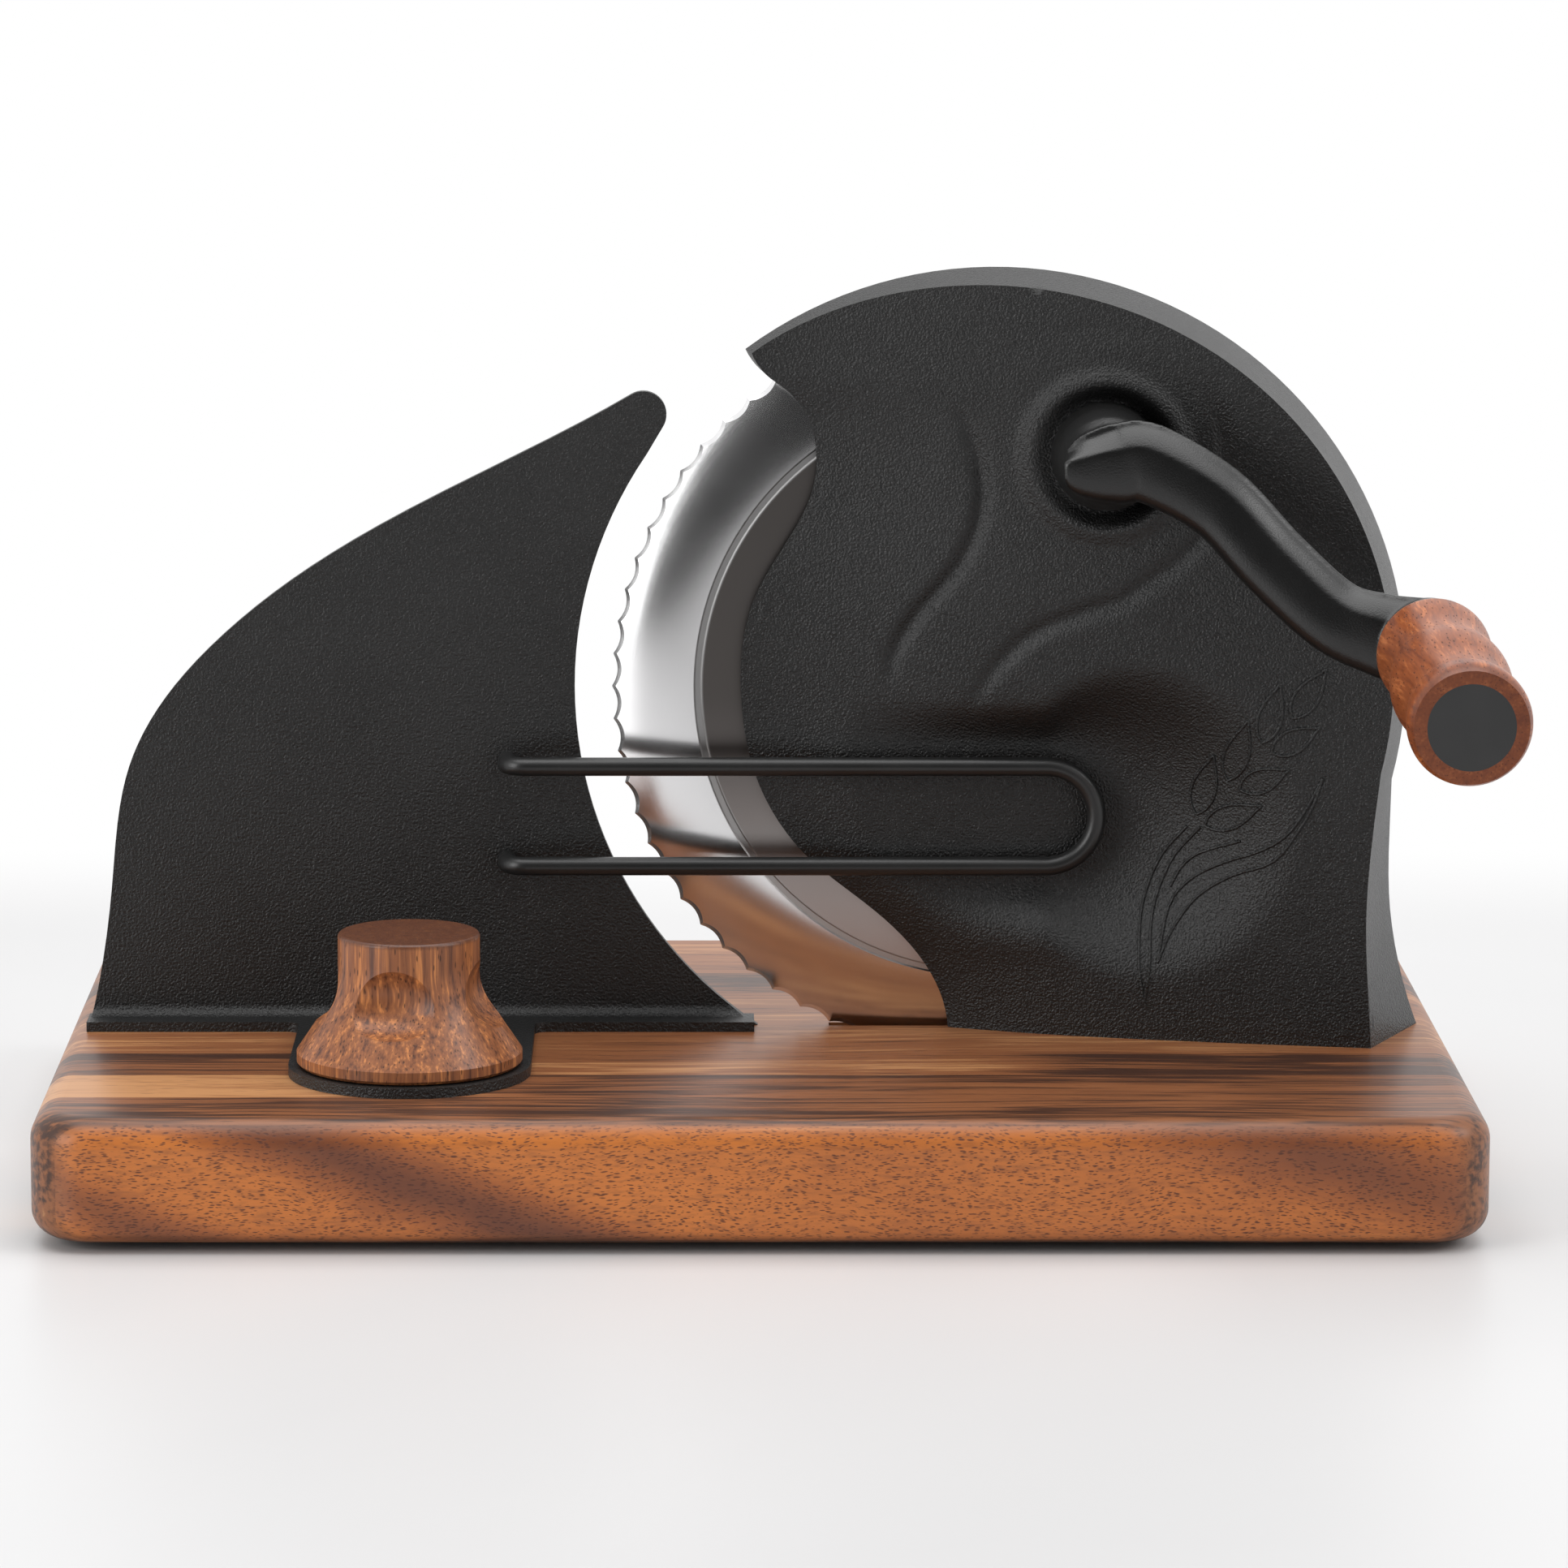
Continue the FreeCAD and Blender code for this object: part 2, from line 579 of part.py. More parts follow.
def housing_hollow():
    """The space inside the housing, less the posts and ribs that stand in it."""
    front = Vector(BLADE_X, 0, BLADE_Z)
    drum = Part.makeCone(CHAMBER_R, CHAMBER_R - CHAMBER_DRAFT, DRAFT_DEPTH, front, FORWARD)
    floor_z = BOARD_TOP + HOUSING_FLOOR
    reach = 2 * RIM_R
    drum = drum.common(block(-reach, reach, -DRAFT_DEPTH, 0, floor_z, BLADE_Z + reach))
    lean = WAIST_FRONT[1][0] - RIM_NARROWING + RIM_FRONT_DX - RIM_DX - WAIST[1][0]
    back_outline = foot_outline(SIDE_WALL)
    foot = Part.makeLoft([back_outline, foot_outline(SIDE_WALL, -DRAFT_DEPTH, lean)], True, True)
    hollow = drum.fuse(foot).common(behind(plain_depth, FACE_GRID).translated(Vector(0, HOUSING_WALL, 0)))
    plate_back = HUB_SEAT_Y + BUSH_PLATE
    hollow = hollow.cut(along_y(BOSS_CREST_R + HOUSING_WALL, CRANK_X, CRANK_Z, plate_back, -DRAFT_DEPTH))

    posts = [
        along_y(AXLE_R + AXLE_BOSS_WALL, BLADE_X, BLADE_Z, AXLE_BOSS_BACK_Y, AXLE_FRONT_Y - PAST),
        along_y(BUSH_R + CRANK_BOSS_WALL, CRANK_X, CRANK_Z, BUSH_BACK_Y, HUB_SEAT_Y),
    ]
    for x, y in HOUSING_SCREW_PLACES:
        posts.append(cylinder(HOUSING_BOSS_R, HOUSING_BOSS_HEIGHT, Vector(x, y, BOARD_TOP), Z_AXIS))
    for x, height in COVER_SCREW_PLACES:
        z = BOARD_TOP + height
        inner = -plain_depth(x, z) + HOUSING_WALL - PAST
        posts.append(along_y(COVER_BOSS_R, x, z, -REAR_COVER_THICKNESS, inner))
    half = RIB_THICKNESS / 2
    for turn in (20, 140, 260):
        rib = block(0, RIB_LENGTH, -DRAFT_DEPTH, BUSH_BACK_Y - RIB_GAP, -half, half)
        rib.rotate(Vector(0, 0, 0), Y_AXIS, turn)
        posts.append(rib.translated(Vector(CRANK_X, 0, CRANK_Z)))
    return hollow.cut(joined(posts))


def make_housing():
    back = housing_wire(0.0, RIM_X, RIM_Z, RIM_R, WAIST)
    front = housing_wire(-DRAFT_DEPTH, RIM_FRONT_X, RIM_FRONT_Z, RIM_FRONT_R, WAIST_FRONT)
    shell = Part.makeLoft([back, front], True, True).common(behind(face_depth, FACE_GRID))
    shell = shell.cut(along_y(BOSS_RECESS_R, CRANK_X, CRANK_Z, HUB_SEAT_Y, -DRAFT_DEPTH))
    lip = [e for e in shell.Edges if abs(e.BoundBox.Center.x - CRANK_X) < 1.0
           and e.BoundBox.YMax < HUB_SEAT_Y - FIT and e.BoundBox.ZLength < 2.2 * BOSS_RECESS_R]
    shell = shell.makeFillet(BOSS_LIP_R, lip)

    ledge = Part.Face(foot_outline(REAR_LEDGE)).extrude(FORWARD * REAR_COVER_THICKNESS)
    cuts = [
        housing_hollow(), ledge,
        along_y(CHAMBER_R, BLADE_X, BLADE_Z, PAST, -BLADE_CHAMBER_DEPTH),
    ]
    for cut in cuts:
        shell = shell.cut(cut)
    holes = [
        along_y(BUSH_R, CRANK_X, CRANK_Z, PAST, -DRAFT_DEPTH),
        along_y(AXLE_R, BLADE_X, BLADE_Z, PAST, AXLE_FRONT_Y),
    ]
    for x, y in HOUSING_SCREW_PLACES:
        holes.append(cylinder(HOUSING_SCREW_R, HOUSING_SCREW_DEPTH, Vector(x, y, BOARD_TOP), Z_AXIS))
    for x, height in COVER_SCREW_PLACES:
        end = -COVER_SCREW_LENGTH - LOOSE_FIT
        holes.append(along_y(COVER_SCREW_R + FIT, x, BOARD_TOP + height, PAST, end))
    return shell.cut(holes).removeSplitter()


def make_housing_screws():
    """Cap screws that come up through the board, each with a washer under its head."""
    screws, washers = [], []
    washer_z = HEAD_POCKET_TOP - SCREW_WASHER_THICKNESS
    head_z = washer_z - HOUSING_SCREW_HEAD_HEIGHT
    for x, y in HOUSING_SCREW_PLACES:
        base = Vector(x, y, head_z)
        head = cylinder(HOUSING_SCREW_HEAD_R, HOUSING_SCREW_HEAD_HEIGHT, base, Z_AXIS)
        shank = cylinder(HOUSING_SCREW_R, BOARD_TOP + HOUSING_SCREW_REACH - head_z, base, Z_AXIS)
        socket = cylinder(SOCKET_R, SOCKET_DEPTH, base, Z_AXIS)
        screws.append(joined([head, shank]).cut(socket))
        seat = Vector(x, y, washer_z)
        ring = cylinder(HOUSING_SCREW_HEAD_R + SCREW_WASHER_OVERLAP, SCREW_WASHER_THICKNESS, seat, Z_AXIS)
        washers.append(ring.cut(cylinder(HOUSING_SCREW_R + FIT, SCREW_WASHER_THICKNESS, seat, Z_AXIS)))
    return screws, washers


def make_rear_cover():
    cover = Part.Face(foot_outline(REAR_LEDGE + FIT)).extrude(FORWARD * (REAR_COVER_THICKNESS - FIT))
    cuts = [along_y(CHAMBER_R, BLADE_X, BLADE_Z, PAST, -DRAFT_DEPTH)]
    screws = []
    for x, height in COVER_SCREW_PLACES:
        tip = Vector(x, 0, BOARD_TOP + height)
        screws.append(countersunk_screw(COVER_SCREW_R, COVER_SCREW_HEAD_R, COVER_SCREW_LENGTH, tip, FORWARD))
    cover = cover.cut(cuts + screws)
    return max(cover.Solids, key=lambda solid: solid.Volume), screws


# ---------------------------------------------------------------- gears

FLANK_STEPS = 2


def involute_gear(teeth, width, bore_r, x, z, tooth_at):
    """A spur gear about a line along Y, with one tooth centred on the angle tooth_at."""
    pitch_r = MODULE * teeth / 2
    base_r = pitch_r * math.cos(math.radians(PRESSURE_ANGLE))
    tip_r = pitch_r + MODULE
    root_r = pitch_r - MODULE * (1 + ROOT_CLEARANCE)
    at_pitch = math.tan(math.radians(PRESSURE_ANGLE)) - math.radians(PRESSURE_ANGLE)

    def half_angle(radius):
        """Half the angle that a tooth covers at a radius, on the involute."""
        roll = math.acos(min(1.0, base_r / radius))
        flank = math.tan(roll) - roll
        return (math.pi * MODULE / 2 - BACKLASH / 2) / pitch_r / 2 + at_pitch - flank

    flank_start = max(base_r, root_r)
    radii = [flank_start + (tip_r - flank_start) * step / FLANK_STEPS for step in range(FLANK_STEPS + 1)]
    half_tooth = [(root_r, half_angle(flank_start))] + [(r, half_angle(r)) for r in radii]
    points = []
    for tooth in range(teeth):
        centre = tooth_at + 360.0 * tooth / teeth
        for r, half in half_tooth:
            points.append(on_circle(x, z, r, centre - math.degrees(half), GEAR_BACK_Y))
        for r, half in reversed(half_tooth):
            points.append(on_circle(x, z, r, centre + math.degrees(half), GEAR_BACK_Y))
    front_y = GEAR_BACK_Y - width
    gear = Part.Face(Part.makePolygon(points + points[:1])).extrude(FORWARD * width)
    inner, outer = bore_r + GEAR_HUB_WALL, root_r - GEAR_RIM
    hole_r = (outer - inner) / 2 - GEAR_SIDE_GAP
    cuts = [along_y(bore_r, x, z, GEAR_BACK_Y, front_y)]
    for k in range(LIGHTENING_HOLES):
        place = on_circle(x, z, (inner + outer) / 2, 360.0 * k / LIGHTENING_HOLES)
        cuts.append(along_y(hole_r, place.x, place.z, GEAR_BACK_Y, front_y))
    return gear.cut(cuts)


# ---------------------------------------------------------------- blade body

BLADE_BUSH_R = AXLE_R + RUNNING_FIT + BUSH_WALL
BLADE_HUB_R = BLADE_SCREW_PCD_R + 1.5 * BLADE_SCREW_HEAD_R
BLADE_SCREWS = [
    on_circle(BLADE_X, BLADE_Z, BLADE_SCREW_PCD_R, 90.0 + 360.0 * k / BLADE_SCREW_COUNT)
    for k in range(BLADE_SCREW_COUNT)
]


def make_blade():
    """A disc with a bevelled rim, whose scallops are ground with a wheel tilted from its axis."""
    edge_y = BLADE_BACK_Y - BLADE_EDGE_THICKNESS
    groove_y = BLADE_FRONT_Y + GROOVE_DEPTH
    blade = turned_y([
        (BLADE_BORE_R, BLADE_BACK_Y), (BLADE_R, BLADE_BACK_Y), (BLADE_R, edge_y),
        (BEVEL_INNER_R, BLADE_FRONT_Y), (BEVEL_INNER_R - GROOVE_SLOPE, groove_y),
        (GROOVE_INNER_R + GROOVE_SLOPE, groove_y), (GROOVE_INNER_R, BLADE_FRONT_Y),
        (BLADE_BORE_R, BLADE_FRONT_Y),
    ], BLADE_X, BLADE_Z)
    root_r = BLADE_R - TOOTH_DEPTH
    half_gap = BLADE_R * math.sin(math.pi / BLADE_TEETH) - TOOTH_LAND / 2
    tilt = math.radians(GRIND_TILT)
    rise = (BLADE_R * math.cos(math.pi / BLADE_TEETH) - root_r) * math.cos(tilt)
    wheel_r = (half_gap ** 2 + rise ** 2) / (2 * rise)
    cuts = []
    for tooth in range(BLADE_TEETH):
        outward = on_circle(0, 0, 1, 360.0 * (tooth + 0.5) / BLADE_TEETH)
        axis = FORWARD * math.cos(tilt) - outward * math.sin(tilt)
        lift = FORWARD * math.sin(tilt) + outward * math.cos(tilt)
        root = Vector(BLADE_X, BLADE_BACK_Y, BLADE_Z) + outward * root_r
        start = root + lift * wheel_r - axis * GRIND_BEFORE
        cuts.append(cylinder(wheel_r, GRIND_BEFORE + GRIND_AFTER, start, axis))
    for place in BLADE_SCREWS:
        cuts.append(along_y(BLADE_SCREW_R + FIT, place.x, place.z, BLADE_BACK_Y, BLADE_FRONT_Y))
    return blade.cut(cuts)


def make_blade_drive():
    """The driven gear with its raised seat for the blade, its bush and the blade screws."""
    gap_at = CRANK_DIRECTION + 180.0 / BLADE_GEAR_TEETH
    gear = involute_gear(BLADE_GEAR_TEETH, BLADE_GEAR_WIDTH, BLADE_BUSH_R, BLADE_X, BLADE_Z, gap_at)
    seat = tube_y(BLADE_HUB_R, BLADE_BUSH_R, BLADE_X, BLADE_Z, BLADE_FRONT_Y, BLADE_GEAR_FRONT_Y)
    spigot = tube_y(BLADE_BORE_R - FIT, BLADE_BUSH_R, BLADE_X, BLADE_Z, BLADE_BACK_Y, GEAR_BACK_Y)
    holes, screws = [], []
    for place in BLADE_SCREWS:
        x, z = place.x, place.z
        holes.append(along_y(BLADE_SCREW_R, x, z, PAST, BLADE_GEAR_FRONT_Y - PAST))
        head = along_y(BLADE_SCREW_HEAD_R, x, z, BLADE_BACK_Y, BLADE_BACK_Y + BLADE_SCREW_HEAD_HEIGHT)
        shank = along_y(BLADE_SCREW_R, x, z, BLADE_BACK_Y, BLADE_GEAR_FRONT_Y + FIT)
        screws.append(joined([head, shank]))
    bush_r = AXLE_R + RUNNING_FIT
    bush = tube_y(BLADE_BUSH_R, bush_r, BLADE_X, BLADE_Z, BLADE_BACK_Y, BLADE_GEAR_FRONT_Y)
    return joined([gear, seat, spigot]).cut(holes), bush, screws


def make_axle():
    """The fixed axle that the blade turns on, with its washer and screw at the back."""
    back_y = BLADE_BACK_Y + AXLE_PROUD
    axle = along_y(AXLE_R, BLADE_X, BLADE_Z, back_y, AXLE_FRONT_Y)
    axle = axle.cut(along_y(AXLE_SCREW_R, BLADE_X, BLADE_Z, back_y, back_y - AXLE_SCREW_LENGTH - LOOSE_FIT))
    washer_y = back_y + AXLE_WASHER_THICKNESS
    washer = tube_y(AXLE_WASHER_R, AXLE_SCREW_R + FIT, BLADE_X, BLADE_Z, back_y, washer_y)
    head_y = washer_y + AXLE_SCREW_HEAD_HEIGHT
    screw = turned_y([
        (0, head_y), (0.8 * AXLE_SCREW_HEAD_R, head_y),
        (AXLE_SCREW_HEAD_R, head_y - 0.4 * AXLE_SCREW_HEAD_HEIGHT),
        (AXLE_SCREW_HEAD_R, washer_y), (AXLE_SCREW_R, washer_y),
        (AXLE_SCREW_R, back_y - AXLE_SCREW_LENGTH), (0, back_y - AXLE_SCREW_LENGTH),
    ], BLADE_X, BLADE_Z)
    half = AXLE_SCREW_SLOT / 2
    slot = block(BLADE_X - AXLE_SCREW_HEAD_R, BLADE_X + AXLE_SCREW_HEAD_R,
                 head_y - AXLE_SCREW_SLOT, head_y, BLADE_Z - half, BLADE_Z + half)
    return axle, washer, screw.cut(slot)


# ---------------------------------------------------------------- crank body

SHAFT_FRONT_Y = HUB_FRONT_Y + SHAFT_TIP_GAP
SHAFT_BACK_Y = GEAR_BACK_Y + LOOSE_FIT
HUB_BASE_Y = HUB_SEAT_Y - HUB_GAP
ARM_HUB_Y = HUB_FRONT_Y + ARM_THICKNESS / 2

# Stations of the arm from hub to grip: x, z and y from the middle of the hub's end, and width.
ARM_STATIONS = [
    (0.0, 0.2, 0.0, 21.5),
    (9.7, 0.6, -1.2, 20.0),
    (26.5, -8.2, -5.0, 18.8),
    (40.7, -22.9, -10.0, 18.6),
    (54.8, -35.4, -15.0, 18.8),
    (66.2, -39.9, -18.3, 20.8),
    (CRANK_REACH_X, -CRANK_DROP + 0.6, -20.7, 24.0),
]
SECTION_POINTS = 8


def canted(shape):
    """Turn a piece built along Y onto the grip's own line, which droops a little."""
    return shape.rotated(Vector(GRIP_X, GRIP_SEAT_Y, GRIP_Z), X_AXIS, GRIP_DROOP)


def arm_section(centre, along, width):
    """A squarish oval across the arm's path."""
    across = Vector(-along.z, 0, along.x).normalize()
    over = along.cross(across)
    ring = []
    for step in range(SECTION_POINTS):
        turn = 2 * math.pi * step / SECTION_POINTS
        c, s = math.cos(turn), math.sin(turn)
        reach = (abs(c) ** ARM_SQUARENESS + abs(s) ** ARM_SQUARENESS) ** (-1 / ARM_SQUARENESS)
        ring.append(centre + across * (reach * c * width / 2) + over * (reach * s * ARM_THICKNESS / 2))
    curve = Part.BSplineCurve()
    curve.interpolate(Points=ring, PeriodicFlag=True)
    return Part.Wire(curve.toShape())


def make_crank_arm():
    """A cast arm: a loft through oval sections along a bowed path, with a hub and an end boss."""
    centres = [Vector(CRANK_X + dx, ARM_HUB_Y + dy, CRANK_Z + dz) for dx, dz, dy, width in ARM_STATIONS]
    sections = []
    for k, centre in enumerate(centres):
        along = centres[min(k + 1, len(centres) - 1)] - centres[max(k - 1, 0)]
        along.y /= 2
        sections.append(arm_section(centre, along.normalize(), ARM_STATIONS[k][-1]))
    return arm_with_ends(Part.makeLoft(sections, True, False))


def arm_with_ends(arm):
    """Fuse the hub and the end boss to the arm, and bore them."""
    nose = Vector(CRANK_X + HUB_FRONT_R - HUB_NOSE_R, HUB_FRONT_Y, CRANK_Z)
    shoulder = Vector(CRANK_X + HUB_FRONT_R, HUB_FRONT_Y + HUB_NOSE_R, CRANK_Z)
    middle = nose + Vector(HUB_NOSE_R * math.sqrt(0.5), HUB_NOSE_R * (1 - math.sqrt(0.5)), 0)
    taper = Vector(CRANK_X + HUB_FRONT_R + 0.6, HUB_TAPER_Y, CRANK_Z)
    base = Vector(CRANK_X + HUB_BASE_R, HUB_BASE_Y, CRANK_Z)
    axis_back, axis_front = Vector(CRANK_X, HUB_BASE_Y, CRANK_Z), Vector(CRANK_X, HUB_FRONT_Y, CRANK_Z)
    hub = turned([
        line(axis_back, base), line(base, taper), line(taper, shoulder), arc(shoulder, middle, nose),
        line(nose, axis_front), line(axis_front, axis_back),
    ], axis_back, Y_AXIS)
    end = canted(turned_y([
        (0, END_BOSS_BACK_Y), (END_BOSS_EDGE_R, END_BOSS_BACK_Y), (END_BOSS_R - 0.8, END_BOSS_BACK_Y - 3.0),
        (END_BOSS_R, END_BOSS_BACK_Y - 8.0), (END_BOSS_R + 0.2, GRIP_SEAT_Y), (0, GRIP_SEAT_Y),
    ], GRIP_X, GRIP_Z))
    pin_back_y = GRIP_SEAT_Y + GRIP_PIN_ENGAGEMENT
    pin_hole = canted(along_y(GRIP_PIN_R, GRIP_X, GRIP_Z, pin_back_y, GRIP_SEAT_Y - PAST))
    socket = d_shaft(SHAFT_FRONT_Y, HUB_BASE_Y + PAST)
    return joined([arm, hub, end]).cut([socket, pin_hole, set_screw(2 * HUB_BASE_R)])


def d_shaft(front_y, back_y):
    """A round bar about the crank's axis with a flat on its lower side in front of the bush."""
    bar = along_y(SHAFT_R, CRANK_X, CRANK_Z, front_y, back_y)
    flat_z = CRANK_Z - SHAFT_R + FLAT_DEPTH
    below = flat_z - SHAFT_R
    return bar.cut(block(CRANK_X - SHAFT_R, CRANK_X + SHAFT_R, front_y, HUB_BASE_Y - PAST, below, flat_z))


def set_screw(reach):
    """A grub screw that bears on the shaft's flat from below."""
    flat_z = CRANK_Z - SHAFT_R + FLAT_DEPTH
    tip = Vector(CRANK_X, (HUB_BASE_Y + SHAFT_FRONT_Y) / 2, flat_z)
    return cylinder(SET_SCREW_R, reach - SHAFT_R, tip, DOWN)


def make_drive_gear():
    """The driving gear, pressed on the back end of the shaft."""
    return involute_gear(DRIVE_TEETH, DRIVE_GEAR_WIDTH, SHAFT_R, CRANK_X, CRANK_Z, CRANK_DIRECTION + 180.0)


def make_bush():
    """The bush in the housing's boss that the crank shaft turns in."""
    return tube_y(BUSH_R, SHAFT_R + RUNNING_FIT, CRANK_X, CRANK_Z, BUSH_BACK_Y, HUB_SEAT_Y)


# ---------------------------------------------------------------- grip body

GRIP_BASE_Y = GRIP_SEAT_Y - GRIP_GAP
GRIP_TIP_Y = GRIP_BASE_Y - GRIP_LENGTH
GRIP_BUSH_R = GRIP_PIN_R + RUNNING_FIT + GRIP_BUSH_WALL
PIN_HEAD_Y = GRIP_TIP_Y + GRIP_CAP_THICKNESS + GRIP_HEAD_ROOM


def wave(turns, place):
    """Tangent arcs through the crests and waists of a profile: two equal arcs between each pair."""
    edges = []
    for (a0, r0), (a1, r1) in zip(turns, turns[1:]):
        run, rise = (a1 - a0) / 2, (r1 - r0) / 2
        bend_r = (run ** 2 + rise ** 2) / (2 * abs(rise))
        half_turn = math.asin(run / bend_r) / 2
        out = bend_r * math.sin(half_turn)
        sag = math.copysign(bend_r * (1 - math.cos(half_turn)), rise)
        middle = place(a0 + run, r0 + rise)
        edges.append(arc(place(a0, r0), place(a0 + out, r0 + sag), middle))
        edges.append(arc(middle, place(a1 - out, r1 - sag), place(a1, r1)))
    return edges


def make_grip():
    def place(along, radius):
        return Vector(GRIP_X + radius, GRIP_BASE_Y - along, GRIP_Z)

    far = GRIP_LENGTH
    body = wave([
        (GRIP_BULGE_AT, GRIP_BACK_R), (GRIP_WAIST_AT, GRIP_WAIST_R), (far / 2, GRIP_SWELL_R),
        (far - GRIP_WAIST_AT, GRIP_WAIST_R), (far - GRIP_BULGE_AT, GRIP_FRONT_R),
    ], place)
    back_edge, front_edge = place(0, GRIP_BACK_R - GRIP_END_EDGE), place(far, GRIP_FRONT_R - GRIP_END_EDGE)
    axis_back, axis_front = place(0, 0), place(far, 0)
    near_end, near_edge = GRIP_BULGE_AT / 2, GRIP_END_EDGE / 4
    back_round = arc(back_edge, place(near_end, GRIP_BACK_R - near_edge), place(GRIP_BULGE_AT, GRIP_BACK_R))
    front_start = place(far - GRIP_BULGE_AT, GRIP_FRONT_R)
    front_round = arc(front_start, place(far - near_end, GRIP_FRONT_R - near_edge), front_edge)
    edges = [line(axis_back, back_edge), back_round] + body
    edges += [front_round, line(front_edge, axis_front), line(axis_front, axis_back)]
    grip = turned(edges, axis_back, Y_AXIS)

    cap_back = GRIP_TIP_Y + GRIP_CAP_THICKNESS
    head_back = PIN_HEAD_Y + GRIP_PIN_HEAD_HEIGHT + LOOSE_FIT
    grip = grip.cut([
        along_y(GRIP_CAP_R, GRIP_X, GRIP_Z, GRIP_TIP_Y - PAST, cap_back),
        along_y(GRIP_PIN_HEAD_R + LOOSE_FIT, GRIP_X, GRIP_Z, GRIP_TIP_Y, head_back),
        along_y(GRIP_BUSH_R, GRIP_X, GRIP_Z, GRIP_TIP_Y, GRIP_BASE_Y + PAST),
    ])
    cap = along_y(GRIP_CAP_R, GRIP_X, GRIP_Z, GRIP_TIP_Y, cap_back)
    bush = tube_y(GRIP_BUSH_R, GRIP_PIN_R + RUNNING_FIT, GRIP_X, GRIP_Z, GRIP_BASE_Y, head_back)
    return canted(grip), canted(cap), canted(bush)


def make_grip_pin():
    head = along_y(GRIP_PIN_HEAD_R, GRIP_X, GRIP_Z, PIN_HEAD_Y, PIN_HEAD_Y + GRIP_PIN_HEAD_HEIGHT)
    shank = along_y(GRIP_PIN_R, GRIP_X, GRIP_Z, PIN_HEAD_Y, GRIP_SEAT_Y + GRIP_PIN_ENGAGEMENT)
    return canted(joined([head, shank]))


# ---------------------------------------------------------------- fence body

# The fence's back edge below its straight flank, from its left end: (x, height above the board).
FENCE_BACK = [(80.8, 133.8), (36.6, 103.5), (11.6, 69.4), (6.4, 37.0), (3.2, 14.0), (0.0, 0.0)]


def fence_outline():
    """The upright plate's outline: the arc round the blade, the rounded tip and the back edge."""
    y = PLATE_FRONT_Y
    foot_angle = 180.0 + math.degrees(math.asin(BLADE_AXIS_HEIGHT / FENCE_ARC_R))
    neck_angle = FENCE_TIP_ANGLE + FENCE_NECK_TURN
    tip = on_circle(BLADE_X, BLADE_Z, FENCE_ARC_R + FENCE_TIP_OUT, FENCE_TIP_ANGLE, y)
    inner, nose, shoulder = [
        on_circle(tip.x, tip.z, FENCE_TIP_R, FENCE_BACK_LEAN + turn, y) for turn in (-FENCE_NOSE_TURN, 0, 90)]
    blade_side = arc_about(BLADE_X, BLADE_Z, FENCE_ARC_R, foot_angle, neck_angle, y)
    neck = blade_side.Vertexes[-1].Point
    back = [Vector(FLANGE_LEFT_X + dx, y, BOARD_TOP + height) for dx, height in FENCE_BACK]
    foot = blade_side.Vertexes[0].Point
    return Part.Wire([
        blade_side, line(neck, inner), arc(inner, nose, shoulder), smooth([shoulder] + back),
        line(back[-1], foot),
    ])


def make_fence_plate():
    outline = Part.Face(fence_outline())
    plate = outline.extrude(Vector(0, PLATE_THICKNESS, 0))
    flange = block(FLANGE_LEFT_X, FLANGE_RIGHT_X, FLANGE_FRONT_Y, PLATE_BACK_Y, BOARD_TOP, TAB_TOP)
    tab = block(KNOB_X - TAB_R, KNOB_X + TAB_R, KNOB_Y, FLANGE_FRONT_Y, BOARD_TOP, TAB_TOP)
    tab_end = cylinder(TAB_R, FLANGE_THICKNESS, Vector(KNOB_X, KNOB_Y, BOARD_TOP), Z_AXIS)

    bend_y, bend_z = PLATE_FRONT_Y - BEND_R, TAB_TOP + BEND_R
    bend = block(FLANGE_LEFT_X, FLANGE_RIGHT_X, bend_y, PLATE_FRONT_Y, TAB_TOP, bend_z)
    bend = bend.cut(cylinder(BEND_R, BOARD_LENGTH, Vector(FLANGE_LEFT_X - PAST, bend_y, bend_z), X_AXIS))
    bend = bend.common(outline.extrude(FORWARD * BEND_R))
    webs = []
    for side in (-1, 1):
        x, far_x = KNOB_X + side * TAB_R, KNOB_X + side * (TAB_R + BEND_R)
        web_y = FLANGE_FRONT_Y - BEND_R
        corner = block(min(x, far_x), max(x, far_x), web_y, FLANGE_FRONT_Y, BOARD_TOP, TAB_TOP)
        webs.append(corner.cut(cylinder(BEND_R, FLANGE_THICKNESS, Vector(far_x, web_y, BOARD_TOP), Z_AXIS)))
    fence = joined([plate, flange, tab, tab_end, bend] + webs)
    cuts = [cylinder(BOLT_R + LOOSE_FIT, FLANGE_THICKNESS, Vector(KNOB_X, KNOB_Y, BOARD_TOP), Z_AXIS)]
    for z in (WIRE_UPPER_Z, WIRE_LOWER_Z):
        cuts.append(along_y(WIRE_R, WIRE_X, z, PLATE_FRONT_Y, PLATE_BACK_Y))
    return fence.cut(cuts + make_key_screws())


def make_key_screws():
    screws = []
    for side in (-1, 1):
        tip = Vector(KNOB_X, KEY_CENTRE_Y + side * KEY_SCREW_SPACING / 2, TAB_TOP)
        screws.append(countersunk_screw(KEY_SCREW_R, KEY_SCREW_HEAD_R, KEY_DEPTH, tip, DOWN))
    return screws


def make_guide_key():
    half = SLOT_WIDTH / 2 - SLIDE_FIT
    back_y, front_y = KEY_CENTRE_Y + KEY_LENGTH / 2, KEY_CENTRE_Y - KEY_LENGTH / 2
    key = block(KNOB_X - half, KNOB_X + half, front_y, back_y, BOARD_TOP - KEY_DEPTH, BOARD_TOP)
    return key.cut(make_key_screws())


